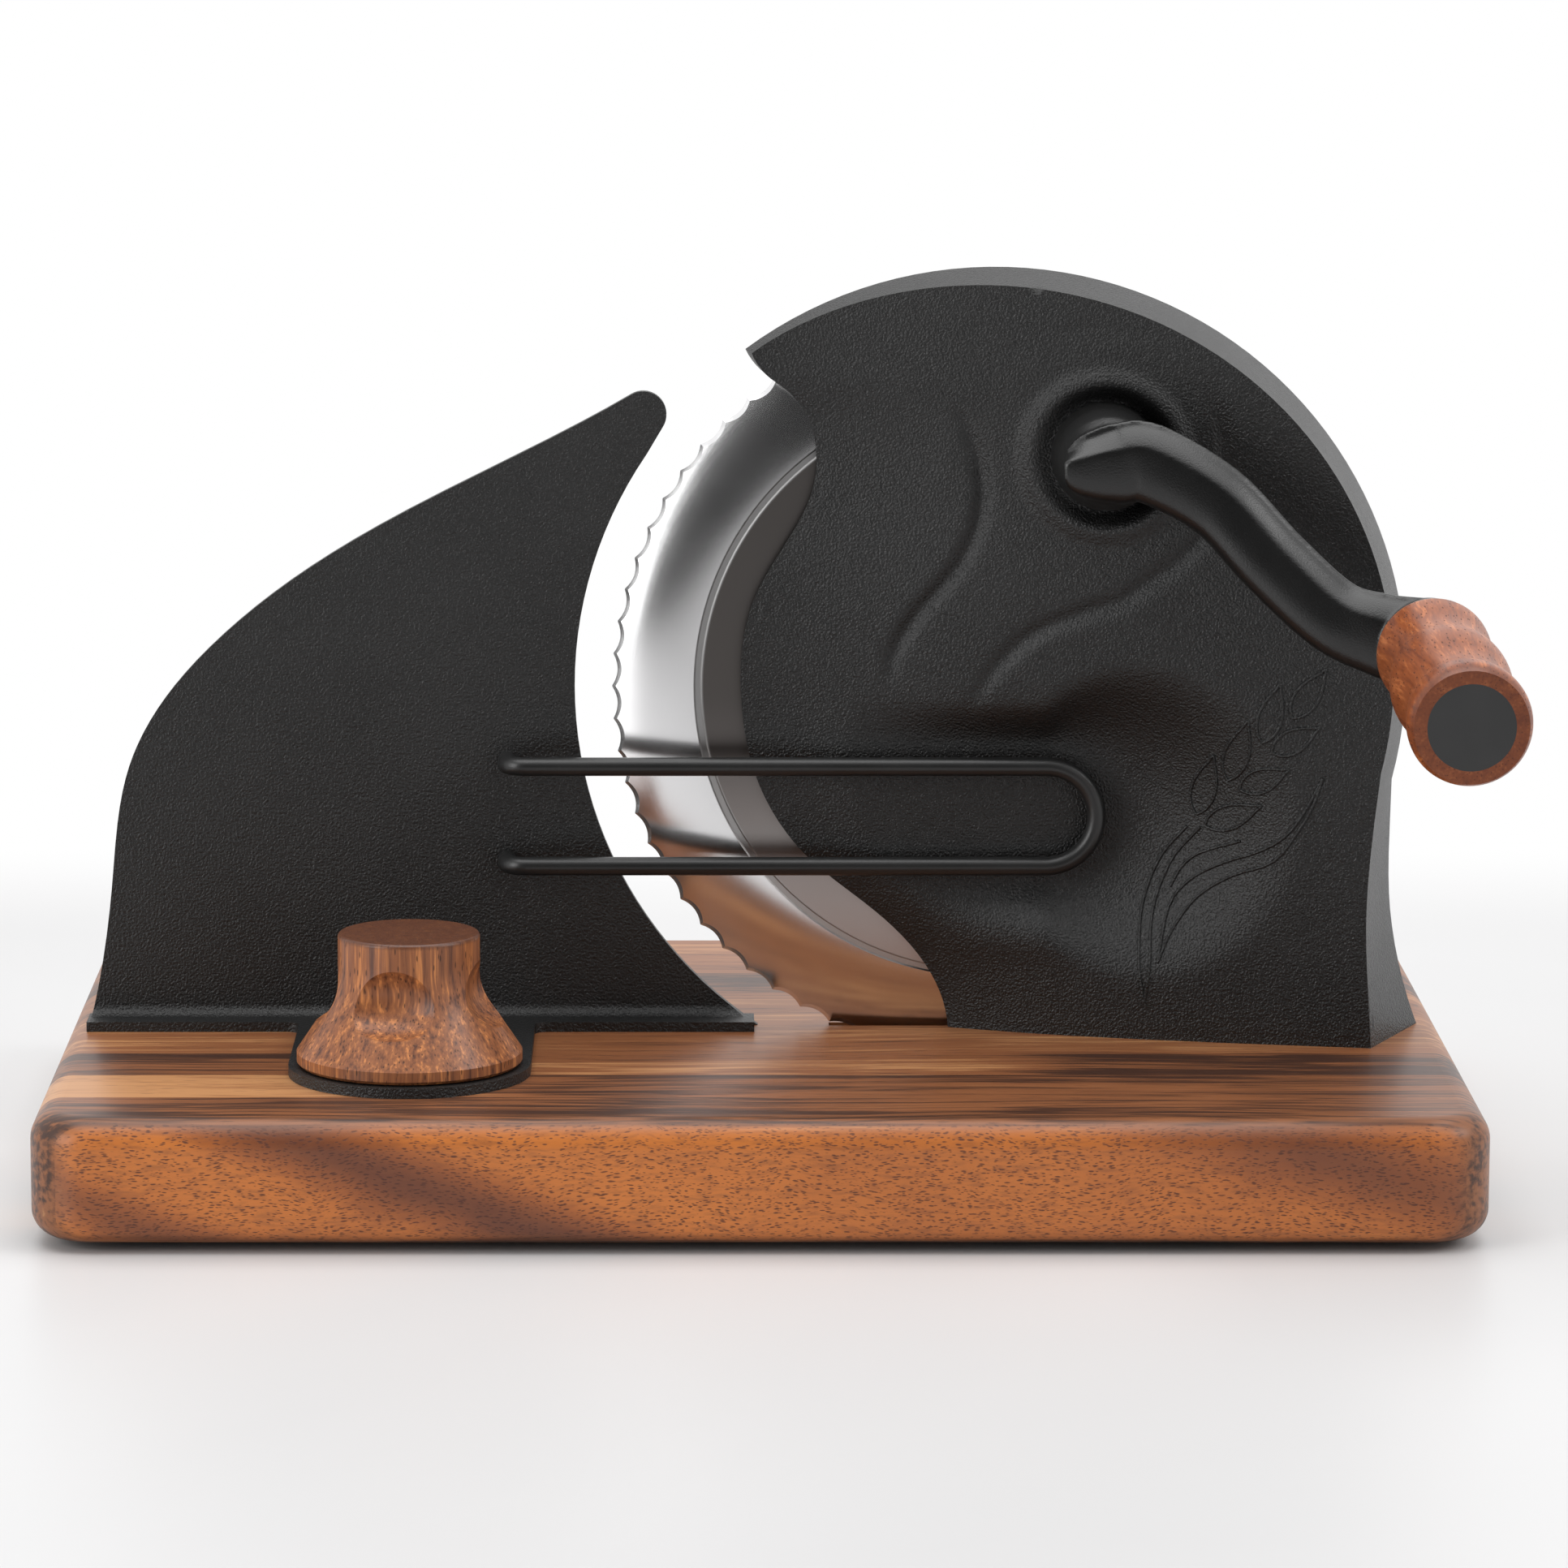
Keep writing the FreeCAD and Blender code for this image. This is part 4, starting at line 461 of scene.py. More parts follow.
def blade_finish():
    steel = Finish("blade steel", Metallic=1.0)
    x = steel.axis("X") - blade_axis.x
    z = steel.axis("Z") - blade_axis.z
    radius = (x * x + z * z) ** 0.5
    by_radius = steel.add("CombineXYZ", inputs={"X": radius * RINGS_PER_METRE, "Y": 0.0, "Z": 0.0})
    rings = steel.noise(by_radius, 1.0, 3.0, 0.7)
    clouds = steel.noise(steel.place, 26.0, 3.0, 0.6)
    bevel = radius.fade(BEVEL_START - 0.2 * MM, BEVEL_START + 0.2 * MM)
    lean = ((radius - BEVEL_START) / (blade_r - BEVEL_START)).at_least(0.0) * BEVEL_LEAN
    outward = steel.add("CombineXYZ", inputs={"X": x / radius, "Y": 0.0, "Z": z / radius})
    tilt = steel.add("VectorMath", {"operation": "SCALE"}, {0: outward, "Scale": lean})
    face = steel.add("NewGeometry", output="Normal")
    leaned = steel.add("VectorMath", {"operation": "NORMALIZE"}, {0: moved(steel, face, tilt)})
    groove = radius.fade(GROOVE_START, GROOVE_END) * (1 - bevel)
    # Painted reflection: the disc is lighter towards its foot. The fade is in the finish, so it
    # turns with the blade.
    inner = steel.mix(z.fade(-0.085, 0.0), PAINTED_REFLECTION_LOW, PAINTED_REFLECTION_HIGH)
    inner = steel.mix(groove * 0.6, inner, (0.5, 0.5, 0.5))
    steel.set("Base Color", steel.mix(bevel, inner, POLISHED))
    steel.set("Roughness", 0.36 - bevel * 0.17 + (clouds - 0.5) * 0.08)
    steel.set("Normal", steel.bump(rings, 0.012 * MM, 0.5, leaned))
    return steel


wear(blade_finish(), "blade")

# %% [markdown]
# ## Making pieces
# A new piece starts as a bmesh, is given its finish, a body to ride on and the record's
# name for its finish. Its place is in its mesh, so the object itself stays at the origin.

# %% From a bmesh to a piece
def make_piece(name, mesh, finish, body):
    data = bpy.data.meshes.new(name)
    mesh.to_mesh(data)
    mesh.free()
    for face in data.polygons:
        face.use_smooth = True
    piece = bpy.data.objects.new(name, data)
    bpy.context.scene.collection.objects.link(piece)
    data.materials.append(finish.material)
    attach(piece, body)
    print(name, "has", len(data.polygons), "faces")
    return piece


def soft_step(value, start, end):
    """0 before start and 1 after end, with a smooth ramp between."""
    share = min(max((value - start) / (end - start), 0.0), 1.0)
    return share * share * (3 - 2 * share)


print("half way up a soft step:", soft_step(0.5, 0.0, 1.0))

# %% [markdown]
# ## The crank's arm
# The arm is one casting. Its hub leans into a flat front facet with a crease along its upper
# edge, and the crease softens until the arm is a plain rounded bar that flares into the
# grip's seat. A loft through outlines gives the bar, a second one gives the hub, and then
# both are turned into one skin of small cubes and smoothed, as a caster's fillet would be.

# %% The way of the arm
# Each station: right of the crank's axis, above it, forward or back, and the bar's width.
ARM_WAY = ((-11.0, -0.6, 0.9, 9.6), (-8.2, -0.4, 0.3, 14.6), (-3.8, 0.1, 0.0, 18.2),
           (2.5, 0.8, -0.3, 20.6), (9.7, 0.9, -1.2, 20.2), (26.5, -8.2, -5.0, 18.8),
           (40.7, -22.9, -10.0, 18.6), (54.8, -35.4, -15.0, 18.8), (66.2, -39.9, -18.3, 20.8),
           (78.8, -42.5, -20.7, 24.0))
ARM_THICK = 11.0 * MM
ARM_SIDES = 48
arm_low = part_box("crank_arm")[0]
housing_low, housing_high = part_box("housing")
RECESS_DEPTH = 17.2 * MM
HUB_FRONT_Y = arm_low.y + 21.0 * MM


def spread(values, steps):
    """Values through the given ones, with even steps between two of them."""
    line = []
    ends = [values[0] * 2 - values[1], *values, values[-1] * 2 - values[-2]]
    for before, start, end, after in zip(ends, ends[1:], ends[2:], ends[3:]):
        bend_out, bend_in = start + (end - before) / 6, end - (after - start) / 6
        line += interpolate_bezier(start, bend_out, bend_in, end, steps + 1)[:-1]
    return line + [values[-1]]


def arm_stations():
    """The middle, the direction and the width of the bar at many places."""
    heart = HUB_FRONT_Y + ARM_THICK / 2
    centres = [Vector((crank_axis.x + x * MM, heart + y * MM, crank_axis.z + z * MM))
               for x, z, y, width in ARM_WAY]
    widths = [Vector((width * MM, 0.0, 0.0)) for x, z, y, width in ARM_WAY]
    centres, widths = spread(centres, 8), [width.x for width in spread(widths, 8)]
    ahead = [b - a for a, b in zip(centres, centres[1:])]
    return list(zip(centres, [ahead[0], *ahead], widths))


print("stations along the arm:", len(arm_stations()))

# %% [markdown]
# ## The bar's outline
# The section is a rounded square. Near the hub its front corners are cut back, the upper one
# much more than the lower one, which is what draws the crease, and the cut fades on the way
# to the grip.

# %% The bar
def squared(turn, squareness=2.5):
    """A place on a rounded square, as across and over."""
    across, over = math.cos(turn), math.sin(turn)
    reach = (abs(across) ** squareness + abs(over) ** squareness) ** (-1 / squareness)
    return across * reach, over * reach


def creased(across, over, upper, soft):
    """How far over a place lies once the front corners are cut back."""
    if over <= 0:
        return over
    start, steepness = (0.40, 2.0) if upper else (0.80, 0.8)
    corner = max(abs(across) - start, 0.0)
    return max(over - (1 - soft * 0.6) * corner * steepness, 0.1)


def next_ring(mesh, ring):
    """The outline extruded once: gives the new outline."""
    edges = [e for e in mesh.edges if e.verts[0] in ring and e.verts[1] in ring]
    grown = bmesh.ops.extrude_edge_only(mesh, edges=edges)["geom"]
    return [part for part in grown if isinstance(part, bmesh.types.BMVert)]


def add_bar(mesh):
    """The bar: one outline that is extruded from station to station."""
    stations = arm_stations()
    ring = bmesh.ops.create_circle(mesh, cap_ends=False, segments=ARM_SIDES, radius=1.0)["verts"]
    first = ring
    for number, (centre, along, width) in enumerate(stations):
        ring = next_ring(mesh, ring) if number else ring
        flat = Vector((along.x, 0.0, along.z)).normalized()
        side = Vector((flat.z, 0.0, -flat.x))
        front = side.cross(along.normalized())
        front = front if front.y < 0 else -front
        soft = soft_step(number / len(stations), 0.05, 0.5)
        for place, vert in enumerate(ring):
            across, over = squared(2 * math.pi * place / ARM_SIDES)
            over = creased(across, over, side.z * across > 0, soft)
            vert.co = centre + side * across * width / 2 + front * over * ARM_THICK / 2
    bmesh.ops.contextual_create(mesh, geom=first)
    bmesh.ops.contextual_create(mesh, geom=ring)


print("a corner of the outline:", [round(part, 3) for part in squared(math.pi / 4)])

# %% [markdown]
# ## The hub
# The hub is a second loft. It starts round, deep in the boss, and ends as a lying oval just
# behind the bar's front, so that the bar alone makes the facet.

# %% The hub
# Each outline: its share of the way to the front, half its width and height, and its lift.
HUB_RINGS = ((0.0, 13.9, 13.9, 0.0), (0.1, 13.8, 13.8, 0.0), (0.35, 13.2, 13.3, 0.1),
             (0.6, 12.4, 11.8, 0.0), (0.8, 11.6, 9.4, -0.4), (0.9, 10.8, 7.4, -0.8),
             (0.97, 9.2, 5.2, -0.9))


def add_hub(mesh):
    """The hub: from a round base in the boss to a lying oval behind the front facet."""
    back_y = housing_high.y - RECESS_DEPTH * 0.97
    ring = bmesh.ops.create_circle(mesh, cap_ends=False, segments=ARM_SIDES, radius=1.0)["verts"]
    first = ring
    for number, (share, wide, high, lift) in enumerate(HUB_RINGS):
        ring = next_ring(mesh, ring) if number else ring
        for place, vert in enumerate(ring):
            turn = 2 * math.pi * place / ARM_SIDES
            vert.co = (crank_axis.x + wide * MM * math.cos(turn),
                       back_y + (HUB_FRONT_Y - back_y) * share,
                       crank_axis.z + (high * math.sin(turn) + lift) * MM)
    bmesh.ops.contextual_create(mesh, geom=first)
    bmesh.ops.contextual_create(mesh, geom=ring)


print("outlines of the hub:", len(HUB_RINGS))

# %% [markdown]
# ## The grip's seat, and one skin
# The seat is a short flare that faces forward. The bar, the hub and the seat only overlap so
# far. A voxel remesh makes one skin of the three, and a few rounds of smoothing give the
# inner corners the fillet that a casting has.

# %% The seat of the grip, and one skin over all
def add_seat(mesh):
    """A round flare whose front carries the grip."""
    seat = Vector((crank_axis.x + 78.8 * MM, arm_low.y, crank_axis.z - 43.1 * MM))
    made = bmesh.ops.create_cone(mesh, cap_ends=True, segments=ARM_SIDES, radius1=12.9 * MM,
                                 radius2=12.0 * MM, depth=12.0 * MM)["verts"]
    bmesh.ops.translate(mesh, vec=(0, 0, 6.2 * MM), verts=made)
    bmesh.ops.rotate(mesh, matrix=Matrix.Rotation(math.radians(-90), 3, "X"), verts=made)
    bmesh.ops.translate(mesh, vec=seat, verts=made)


def make_arm():
    mesh = bmesh.new()
    add_bar(mesh)
    add_hub(mesh)
    add_seat(mesh)
    bmesh.ops.recalc_face_normals(mesh, faces=mesh.faces)
    arm = make_piece("arm_casting", mesh, crank_coat, "crank")
    skin = arm.modifiers.new("one skin", "REMESH")
    skin.mode = "VOXEL"
    skin.voxel_size = 0.6 * MM
    skin.use_smooth_shade = True
    fillet = arm.modifiers.new("cast fillet", "SMOOTH")
    fillet.factor = 0.5
    fillet.iterations = 5
    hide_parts("crank_arm")


make_arm()

# %% [markdown]
# ## The housing's face
# The casting's face slopes forward to the right and dips softly under the wire guard. The
# crank leaves it through a dished boss with a low rolled ridge, and two long creases run
# across it. The solid model only has its main shape, so the face is made new here: the
# solid's own face is cut out of a copy of the housing, and a fine grid is laid in its place.
# The grid takes its depth from the solid face, and from a plain slope where the dish and the
# boss are, and then the ridge and the creases are pressed into it.

# %% The solid face, and places on it
solid = bmesh.new()
solid.from_mesh(nodes["housing"].data)
housing_front = BVHTree.FromBMesh(solid)
solid.free()
FORWARD_Y = housing_low.y - 0.1
BOSS_CLEAR = 26 * MM


def from_crank(x, z):
    return math.hypot(x - crank_axis.x, z - crank_axis.z)


def seen_from_front(tree, x, z):
    """Where a line of sight from the front meets a surface, and its normal there."""
    return tree.ray_cast(Vector((x, FORWARD_Y, z)), Vector((0.0, 1.0, 0.0)))[:2]


def face_at(x, z):
    """The place on the housing's face, or None beside it. Near the crank any wall counts."""
    place, normal = seen_from_front(housing_front, x, z)
    if place is None or (normal.y > -0.5 and from_crank(x, z) > BOSS_CLEAR):
        return None
    return place


print("the face at the blade's axis, depth in mm:",
      round((housing_high.y - face_at(blade_axis.x, blade_axis.z).y) / MM, 1))

# %% [markdown]
# ## The creases
# A crease is a groove with a small step beside it, pressed along a smooth line, and both
# fade out towards its ends. The nearest point of the line tells how deep a place lies, and
# the side of the line tells which way the step goes.

# %% Two creases
CREASE_INNER = ((-12.2, 75.0), (-8.1, 70.9), (-4.9, 63.4), (-3.3, 56.4), (-3.1, 49.5),
                (-4.8, 41.8), (-8.5, 34.0), (-13.3, 27.6), (-18.1, 21.9), (-22.2, 16.1),
                (-25.0, 10.4), (-26.3, 4.8), (-26.6, -0.9))
CREASE_OUTER = ((-6.1, -9.5), (-4.8, -2.4), (-0.7, 4.8), (5.4, 12.0), (12.2, 17.1), (22.5, 21.5),
                (32.7, 25.3), (40.2, 30.7), (46.3, 35.0), (50.8, 39.8), (56.3, 46.7),
                (58.4, 55.1), (58.1, 63.9), (57.4, 70.6), (54.9, 77.8), (52.8, 81.9))


def on_face(places):
    """Places in millimetres right of and above the blade's axis, as flat vectors."""
    return [Vector((blade_axis.x + x * MM, 0.0, blade_axis.z + z * MM)) for x, z in places]


class Crease:
    """A line that is pressed into the face, with soft ends."""

    def __init__(self, places, depth, width, step, fade=0.22):
        self.line = spread(on_face(places), 12)
        self.tree = KDTree(len(self.line))
        for number, place in enumerate(self.line):
            self.tree.insert(place, number)
        self.tree.balance()
        self.depth, self.width, self.step, self.fade = depth * MM, width * MM, step * MM, fade

    def height(self, x, z):
        here = Vector((x, 0.0, z))
        nearest, number, away = self.tree.find(here)
        last = len(self.line) - 1
        share = number / last
        ends = soft_step(share, 0.0, self.fade) * soft_step(1 - share, 0.0, self.fade)
        back, ahead = self.line[max(number - 1, 0)], self.line[min(number + 1, last)]
        right = 1 if (ahead - back).cross(here - nearest).y > 0 else -1
        middle_of_it = math.exp(-(away / self.width) ** 2)
        beside_it = math.exp(-away / (3.2 * self.width)) * (1 - middle_of_it)
        return (self.step * right * beside_it - self.depth * middle_of_it) * ends


creases = (Crease(CREASE_INNER, 1.5, 1.9, 0.30, 0.25), Crease(CREASE_OUTER, 1.3, 2.1, 0.35))
print("creases:", len(creases))

# %% [markdown]
# ## How deep the face lies
# Depth is measured forward from the housing's back. The plain slope rolls back to a thin
# edge on its left. A wide dish lies round the wire guard's loop, and it reaches further out
# to the right than up and down. The boss is a low ridge round a recess.

# %% The depth of the new face
TOE_X = blade_axis.x - 10.5 * MM
EDGE_DEPTH, TOE_DEPTH, SLOPE, ROLL = 4.8 * MM, 14.2 * MM, 0.162, 22.0 * MM
RIDGE_R, RIDGE_OUT, RIDGE_HIGH = 19.0 * MM, 5.0 * MM, 1.4 * MM
RECESS_R = 14.0 * MM
wire_low, wire_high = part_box("wire_guard")
WIRE_R = 2.4 * MM
LOOP_R = (wire_high.z - wire_low.z) / 2 - WIRE_R
LOOP_X, LOOP_Z = wire_high.x - WIRE_R - LOOP_R, (wire_high.z + wire_low.z) / 2
DISH_R, DISH_DEPTH = LOOP_R + 4.6 * MM, 8.3 * MM
DISH_REACH, DISH_REACH_RIGHT = 14 * MM, 34 * MM


def dished_depth(x, z, edge_x):
    """How far a plain slope with a wide soft dish under the wire stands before the back."""
    rise = TOE_DEPTH + SLOPE * (x - TOE_X) - EDGE_DEPTH
    depth = EDGE_DEPTH + rise * (1 - math.exp(-max(x - edge_x, 0.0) / ROLL))
    right, up = max(x - LOOP_X, 0.0), abs(z - LOOP_Z)
    away = math.hypot(right, up)
    reach = DISH_REACH + DISH_REACH_RIGHT * right / max(away, MM)
    dish = 1 - soft_step(away, DISH_R, DISH_R + reach)
    return depth - dish * max(depth - DISH_DEPTH, 0.0), dish


def with_boss(depth, x, z):
    """The ridge of the boss and the recess inside it."""
    away = from_crank(x, z)
    crest = depth + RIDGE_HIGH * (1 - soft_step(away, RIDGE_R, RIDGE_R + RIDGE_OUT))
    inside = 1 - soft_step(away, RECESS_R, RIDGE_R)
    return crest + (min(RECESS_DEPTH, crest) - crest) * inside


print("radius of the wire's loop in mm:", round(LOOP_R / MM, 2))

# %% [markdown]
# ## The grid of the new face
# A flat grid stands before the housing, and each of its points is pushed back to its depth.
# Near the outline the solid's own depth stays, further in the plain slope takes over where
# the dish and the boss are, and smoothing along the depth melts the two together. The ridge
# and the creases come last, so that no smoothing wears them down.

# %% A grid and its outline
FACE_GRID = 0.9 * MM
KEPT_EDGE, FREE_FROM = 2.6 * MM, 14 * MM
SMOOTH_FROM, SMOOTHING_ROUNDS = 3 * MM, 12
BOSS_START, BOSS_END = 31 * MM, 37 * MM


def face_grid():
    """A grid over the housing, seen from the front."""
    size = housing_high - housing_low
    mesh = bmesh.new()
    bmesh.ops.create_grid(mesh, x_segments=round(size.x / FACE_GRID),
                          y_segments=round(size.z / FACE_GRID), size=0.5)
    bmesh.ops.scale(mesh, vec=(size.x, size.z, 1.0), verts=mesh.verts)
    bmesh.ops.rotate(mesh, matrix=Matrix.Rotation(math.radians(90), 3, "X"), verts=mesh.verts)
    bmesh.ops.translate(mesh, vec=(housing_low + housing_high) / 2, verts=mesh.verts)
    return mesh


def outline_of(hits):
    """A search tree of the points that lie beside the face."""
    beside = [vert.co.copy() for vert, hit in hits.items()
              if hit is None and from_crank(vert.co.x, vert.co.z) > BOSS_CLEAR]
    tree = KDTree(len(beside))
    for number, place in enumerate(beside):
        tree.insert((place.x, 0.0, place.z), number)
    tree.balance()
    return tree


def left_edges(hits):
    """For each row of the grid, how far left the face reaches."""
    edge_x = {}
    for vert, hit in hits.items():
        if hit is not None:
            row = round(vert.co.z / MM, 1)
            edge_x[row] = min(edge_x.get(row, 1.0), vert.co.x)
    return edge_x


print("points across the face:", round((housing_high.x - housing_low.x) / FACE_GRID))

# %% The new face
def lay_grid(mesh):
    """Push the grid back to the face. Gives the outline, and the distance of each point to it."""
    hits = {vert: face_at(vert.co.x, vert.co.z) for vert in mesh.verts}
    outline, edge_x, inside = outline_of(hits), left_edges(hits), {}
    for vert, hit in hits.items():
        x, z = vert.co.x, vert.co.z
        away = outline.find((x, 0.0, z))[2]
        if hit is not None and away > FACE_GRID:
            inside[vert] = away
            solid_depth = housing_high.y - hit.y
            depth, dish = dished_depth(x, z, edge_x[round(z / MM, 1)])
            boss = 1 - soft_step(from_crank(x, z), BOSS_START, BOSS_END)
            new = max(boss, soft_step(dish, 0.0, 0.02)) * soft_step(away, KEPT_EDGE, FREE_FROM)
            vert.co.y = housing_high.y - solid_depth - (depth - solid_depth) * new
    lost = [vert for vert in mesh.verts if vert not in inside]
    bmesh.ops.delete(mesh, geom=lost, context="VERTS")
    return outline, inside


def press_lines(inside):
    """The boss and the creases. At the outline the grid dips just under the solid's face."""
    for vert, away in inside.items():
        x, z = vert.co.x, vert.co.z
        over = soft_step(away, 1.4 * MM, KEPT_EDGE) * 0.1 * MM - 0.05 * MM
        pressed = sum(crease.height(x, z) for crease in creases)
        pressed = pressed * soft_step(away, 3 * MM, 12 * MM)
        vert.co.y = housing_high.y - with_boss(housing_high.y - vert.co.y + pressed + over, x, z)


def make_face():
    mesh = face_grid()
    outline, inside = lay_grid(mesh)
    soft = [vert for vert, away in inside.items() if away > SMOOTH_FROM]
    for turn in range(SMOOTHING_ROUNDS):
        bmesh.ops.smooth_vert(mesh, verts=soft, factor=0.5, use_axis_y=True)
    press_lines(inside)
    hole = [v for v in mesh.verts if from_crank(v.co.x, v.co.z) < RECESS_R - 2.5 * MM]
    bmesh.ops.delete(mesh, geom=hole, context="VERTS")
    bmesh.ops.recalc_face_normals(mesh, faces=mesh.faces)
    if sum(face.normal.y for face in mesh.faces) > 0:
        bmesh.ops.reverse_faces(mesh, faces=mesh.faces)
    return make_piece("housing_face", mesh, housing_coat, "base"), outline


skin, outline = make_face()

# %% [markdown]
# ## The rest of the housing
# The sides, the back and the narrow rim of the front are the solid's own. They are copied,
# and everything that would stand before the new face is cut out of the copy. The front's
# long triangles are split first, so that the cut follows the rim closely. The solid model
# has a small notch low in its right wall, which a casting wouldn't have. Here it is closed
# with a patch that runs along the wall's slope.

# %% A patch for the notch
PATCH_CELLS = 24
PATCH_HIGH = 15.0 * MM


def side_at(y, z):
    """How far right the housing's side reaches."""
    hit = housing_front.ray_cast(Vector((0.3, y, z)), Vector((-1.0, 0.0, 0.0)))[0]
    return hit.x if hit else 0.0


def close_notch(mesh):
    """A patch over the notch at the right foot, along the side wall's own slope."""
    made = bmesh.ops.create_grid(mesh, x_segments=PATCH_CELLS, y_segments=PATCH_CELLS,
                                 size=0.5)["verts"]
    near, far = housing_high.y - 14 * MM, housing_high.y - 6 * MM
    front = housing_low.y + 0.6 * MM
    for vert in made:
        z = housing_low.z + MM + PATCH_HIGH * (vert.co.y + 0.5)
        y = front + (near - front) * (vert.co.x + 0.5)
        slope = (side_at(near, z) - side_at(far, z)) / (near - far)
        guess, there = side_at(near, z) + slope * (y - near), side_at(y, z)
        wall = guess if there < guess - 0.6 * MM else there
        vert.co = (wall + 0.03 * MM, y, z)
    gone = [v for v in made if v.co.y < housing_low.y + 1.5 * MM and side_at(v.co.y, v.co.z) < 0.1]
    bmesh.ops.delete(mesh, geom=gone, context="VERTS")


print("the right wall's foot reaches mm:", round(side_at(housing_high.y - MM,
                                                        housing_low.z + MM) / MM, 1))

# %% The shell
SPLIT_LENGTH = 3 * MM
RIM_WIDTH = 1.7 * MM
PROUD = 0.03 * MM


def split_front(mesh):
    """Split the front's long triangles, in seven rounds at most, so the cut can be fine."""
    for turn in range(7):
        edges = {edge for face in mesh.faces if face.normal.y < -0.5 for edge in face.edges}
        long_edges = [edge for edge in edges if edge.calc_length() > SPLIT_LENGTH]
        bmesh.ops.subdivide_edges(mesh, edges=long_edges, cuts=1)
        bmesh.ops.triangulate(mesh, faces=[face for face in mesh.faces if len(face.verts) > 3])


def make_shell():
    """A merged copy of the housing without all that would stand in front of its new face."""
    dressed = bmesh.new()
    dressed.from_mesh(skin.data)
    new_front = BVHTree.FromBMesh(dressed)
    dressed.free()
    mesh = bmesh.new()
    mesh.from_mesh(nodes["housing"].data)
    bmesh.ops.remove_doubles(mesh, verts=mesh.verts, dist=0.001 * MM)
    split_front(mesh)

    def is_proud(place):
        hit = seen_from_front(new_front, place.x, place.z)[0]
        return hit is not None and place.y < hit.y - PROUD

    def on_rim(place):
        return outline.find((place.x, 0.0, place.z))[2] < RIM_WIDTH

    cut = []
    for face in mesh.faces:
        corners = [vert.co for vert in face.verts]
        middles = [(one + other) / 2 for one, other in zip(corners, corners[1:] + corners[:1])]
        places = [*corners, *middles, face.calc_center_median()]
        may_go = face.normal.y > 0.1 or not any(on_rim(place) for place in corners)
        if may_go and any(is_proud(place) for place in places):
            cut.append(face)
    bmesh.ops.delete(mesh, geom=cut, context="FACES")
    close_notch(mesh)
    shell = make_piece("housing_shell", mesh, housing_coat, "base")
    shell.data.set_sharp_from_angle(angle=math.radians(18))
    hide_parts("housing")


make_shell()

# %% [markdown]
# ## The ear of wheat
# An ear is a common ornament. Each grain and leaf is only an outline here, a fine raised
# line as from a graver's tool in the casting mould. A curve with a round section draws it,
# and every point of it is dropped on the skin, so the line follows the face.

# %% Outlines on the skin
# Each grain: its base and its tip. All places are in mm from the blade's axis.
GRAINS = (((52.8, -31.3), (56.6, -15.1)), ((60.3, -21.5), (64.8, -5.1)),
          ((68.4, -10.8), (72.7, 4.7)), ((75.8, -4.1), (84.1, 8.7)),
          ((54.9, -34.1), (68.6, -27.4)), ((63.2, -23.6), (75.1, -17.4)),
          ((70.8, -13.2), (82.6, -6.4)))
STALK = ((39.4, -79.8), (38.1, -70.5), (38.5, -59.7), (40.2, -51.6), (44.2, -42.4),
         (50.5, -34.5))
LEAF_UPPER = ((42.7, -69.2), (45.9, -55.1), (51.4, -48.0), (59.6, -43.0), (67.8, -39.5),
              (74.4, -35.1), (79.4, -28.1), (83.8, -19.4))
LEAF_LOWER = ((83.8, -19.4), (81.4, -26.5), (78.4, -32.3), (71.9, -41.5), (61.7, -46.1),
              (53.0, -52.2), (46.5, -61.0), (42.7, -69.2))
LEAF_SMALL = ((46.2, -50.4), (49.3, -44.9), (53.9, -41.0), (63.6, -37.1))
LINE_R = 0.42 * MM
HALF_GRAIN = 2.9
STALK_THICK = 2.4


def grain_outline(base, tip):
    """A pointed oval from base to tip."""
    base, tip = Vector(base), Vector(tip)
    side = (tip - base).orthogonal().normalized() * HALF_GRAIN
    steps = (0.0, 0.12, 0.3, 0.5, 0.72, 0.88, 1.0)
    swell = (0.0, 0.62, 0.98, 1.0, 0.66, 0.26, 0.0)
    right = [base.lerp(tip, s) + side * w for s, w in zip(steps, swell)]
    left = [base.lerp(tip, s) - side * w for s, w in zip(steps, swell)]
    return right + left[-2::-1]


def outlines_of_ear():
    """All lines of the drawing. The stalk widens a little towards its upper end."""
    stalk_back = [(x + STALK_THICK + 0.02 * (z + 80), z) for x, z in STALK[1:]]
    grains = [grain_outline(base, tip) for base, tip in GRAINS]
    return *grains, STALK, (*STALK[:1], *stalk_back), LEAF_UPPER, LEAF_LOWER, LEAF_SMALL


def make_ear():
    mesh = bmesh.new()
    mesh.from_mesh(skin.data)
    ground = BVHTree.FromBMesh(mesh)
    mesh.free()
    drawing = bpy.data.curves.new("wheat_ear", "CURVE")
    drawing.dimensions = "3D"
    drawing.bevel_depth = LINE_R
    drawing.bevel_resolution = 2
    drawing.use_fill_caps = True
    for places in outlines_of_ear():
        line = spread(on_face(places), 4)
        spline = drawing.splines.new("POLY")
        spline.points.add(len(line) - 1)
        for point, place in zip(spline.points, line):
            hit = seen_from_front(ground, place.x, place.z)[0]
            hit = face_at(place.x, place.z) if hit is None else hit
            point.co = (place.x, hit.y, place.z, 1.0)
    holder = bpy.data.objects.new("wheat_ear", drawing)
    flat = bpy.data.meshes.new_from_object(holder)
    made = bmesh.new()
    made.from_mesh(flat)
    make_piece("wheat_ear", made, housing_coat, "base")


make_ear()

# %% [markdown]
# ## The small metal, brass, rubber and plastic
# The screws are zinc plated, the crank's shaft and the blade's axle are turned steel, the
# bush in the boss is brass and the feet are rubber. They hardly show, but each gets the
# faint unevenness that the real stuff has.

# %% One recipe for the small pieces
GRAINS_PER_METRE = 900.0
UNEVEN = 0.06


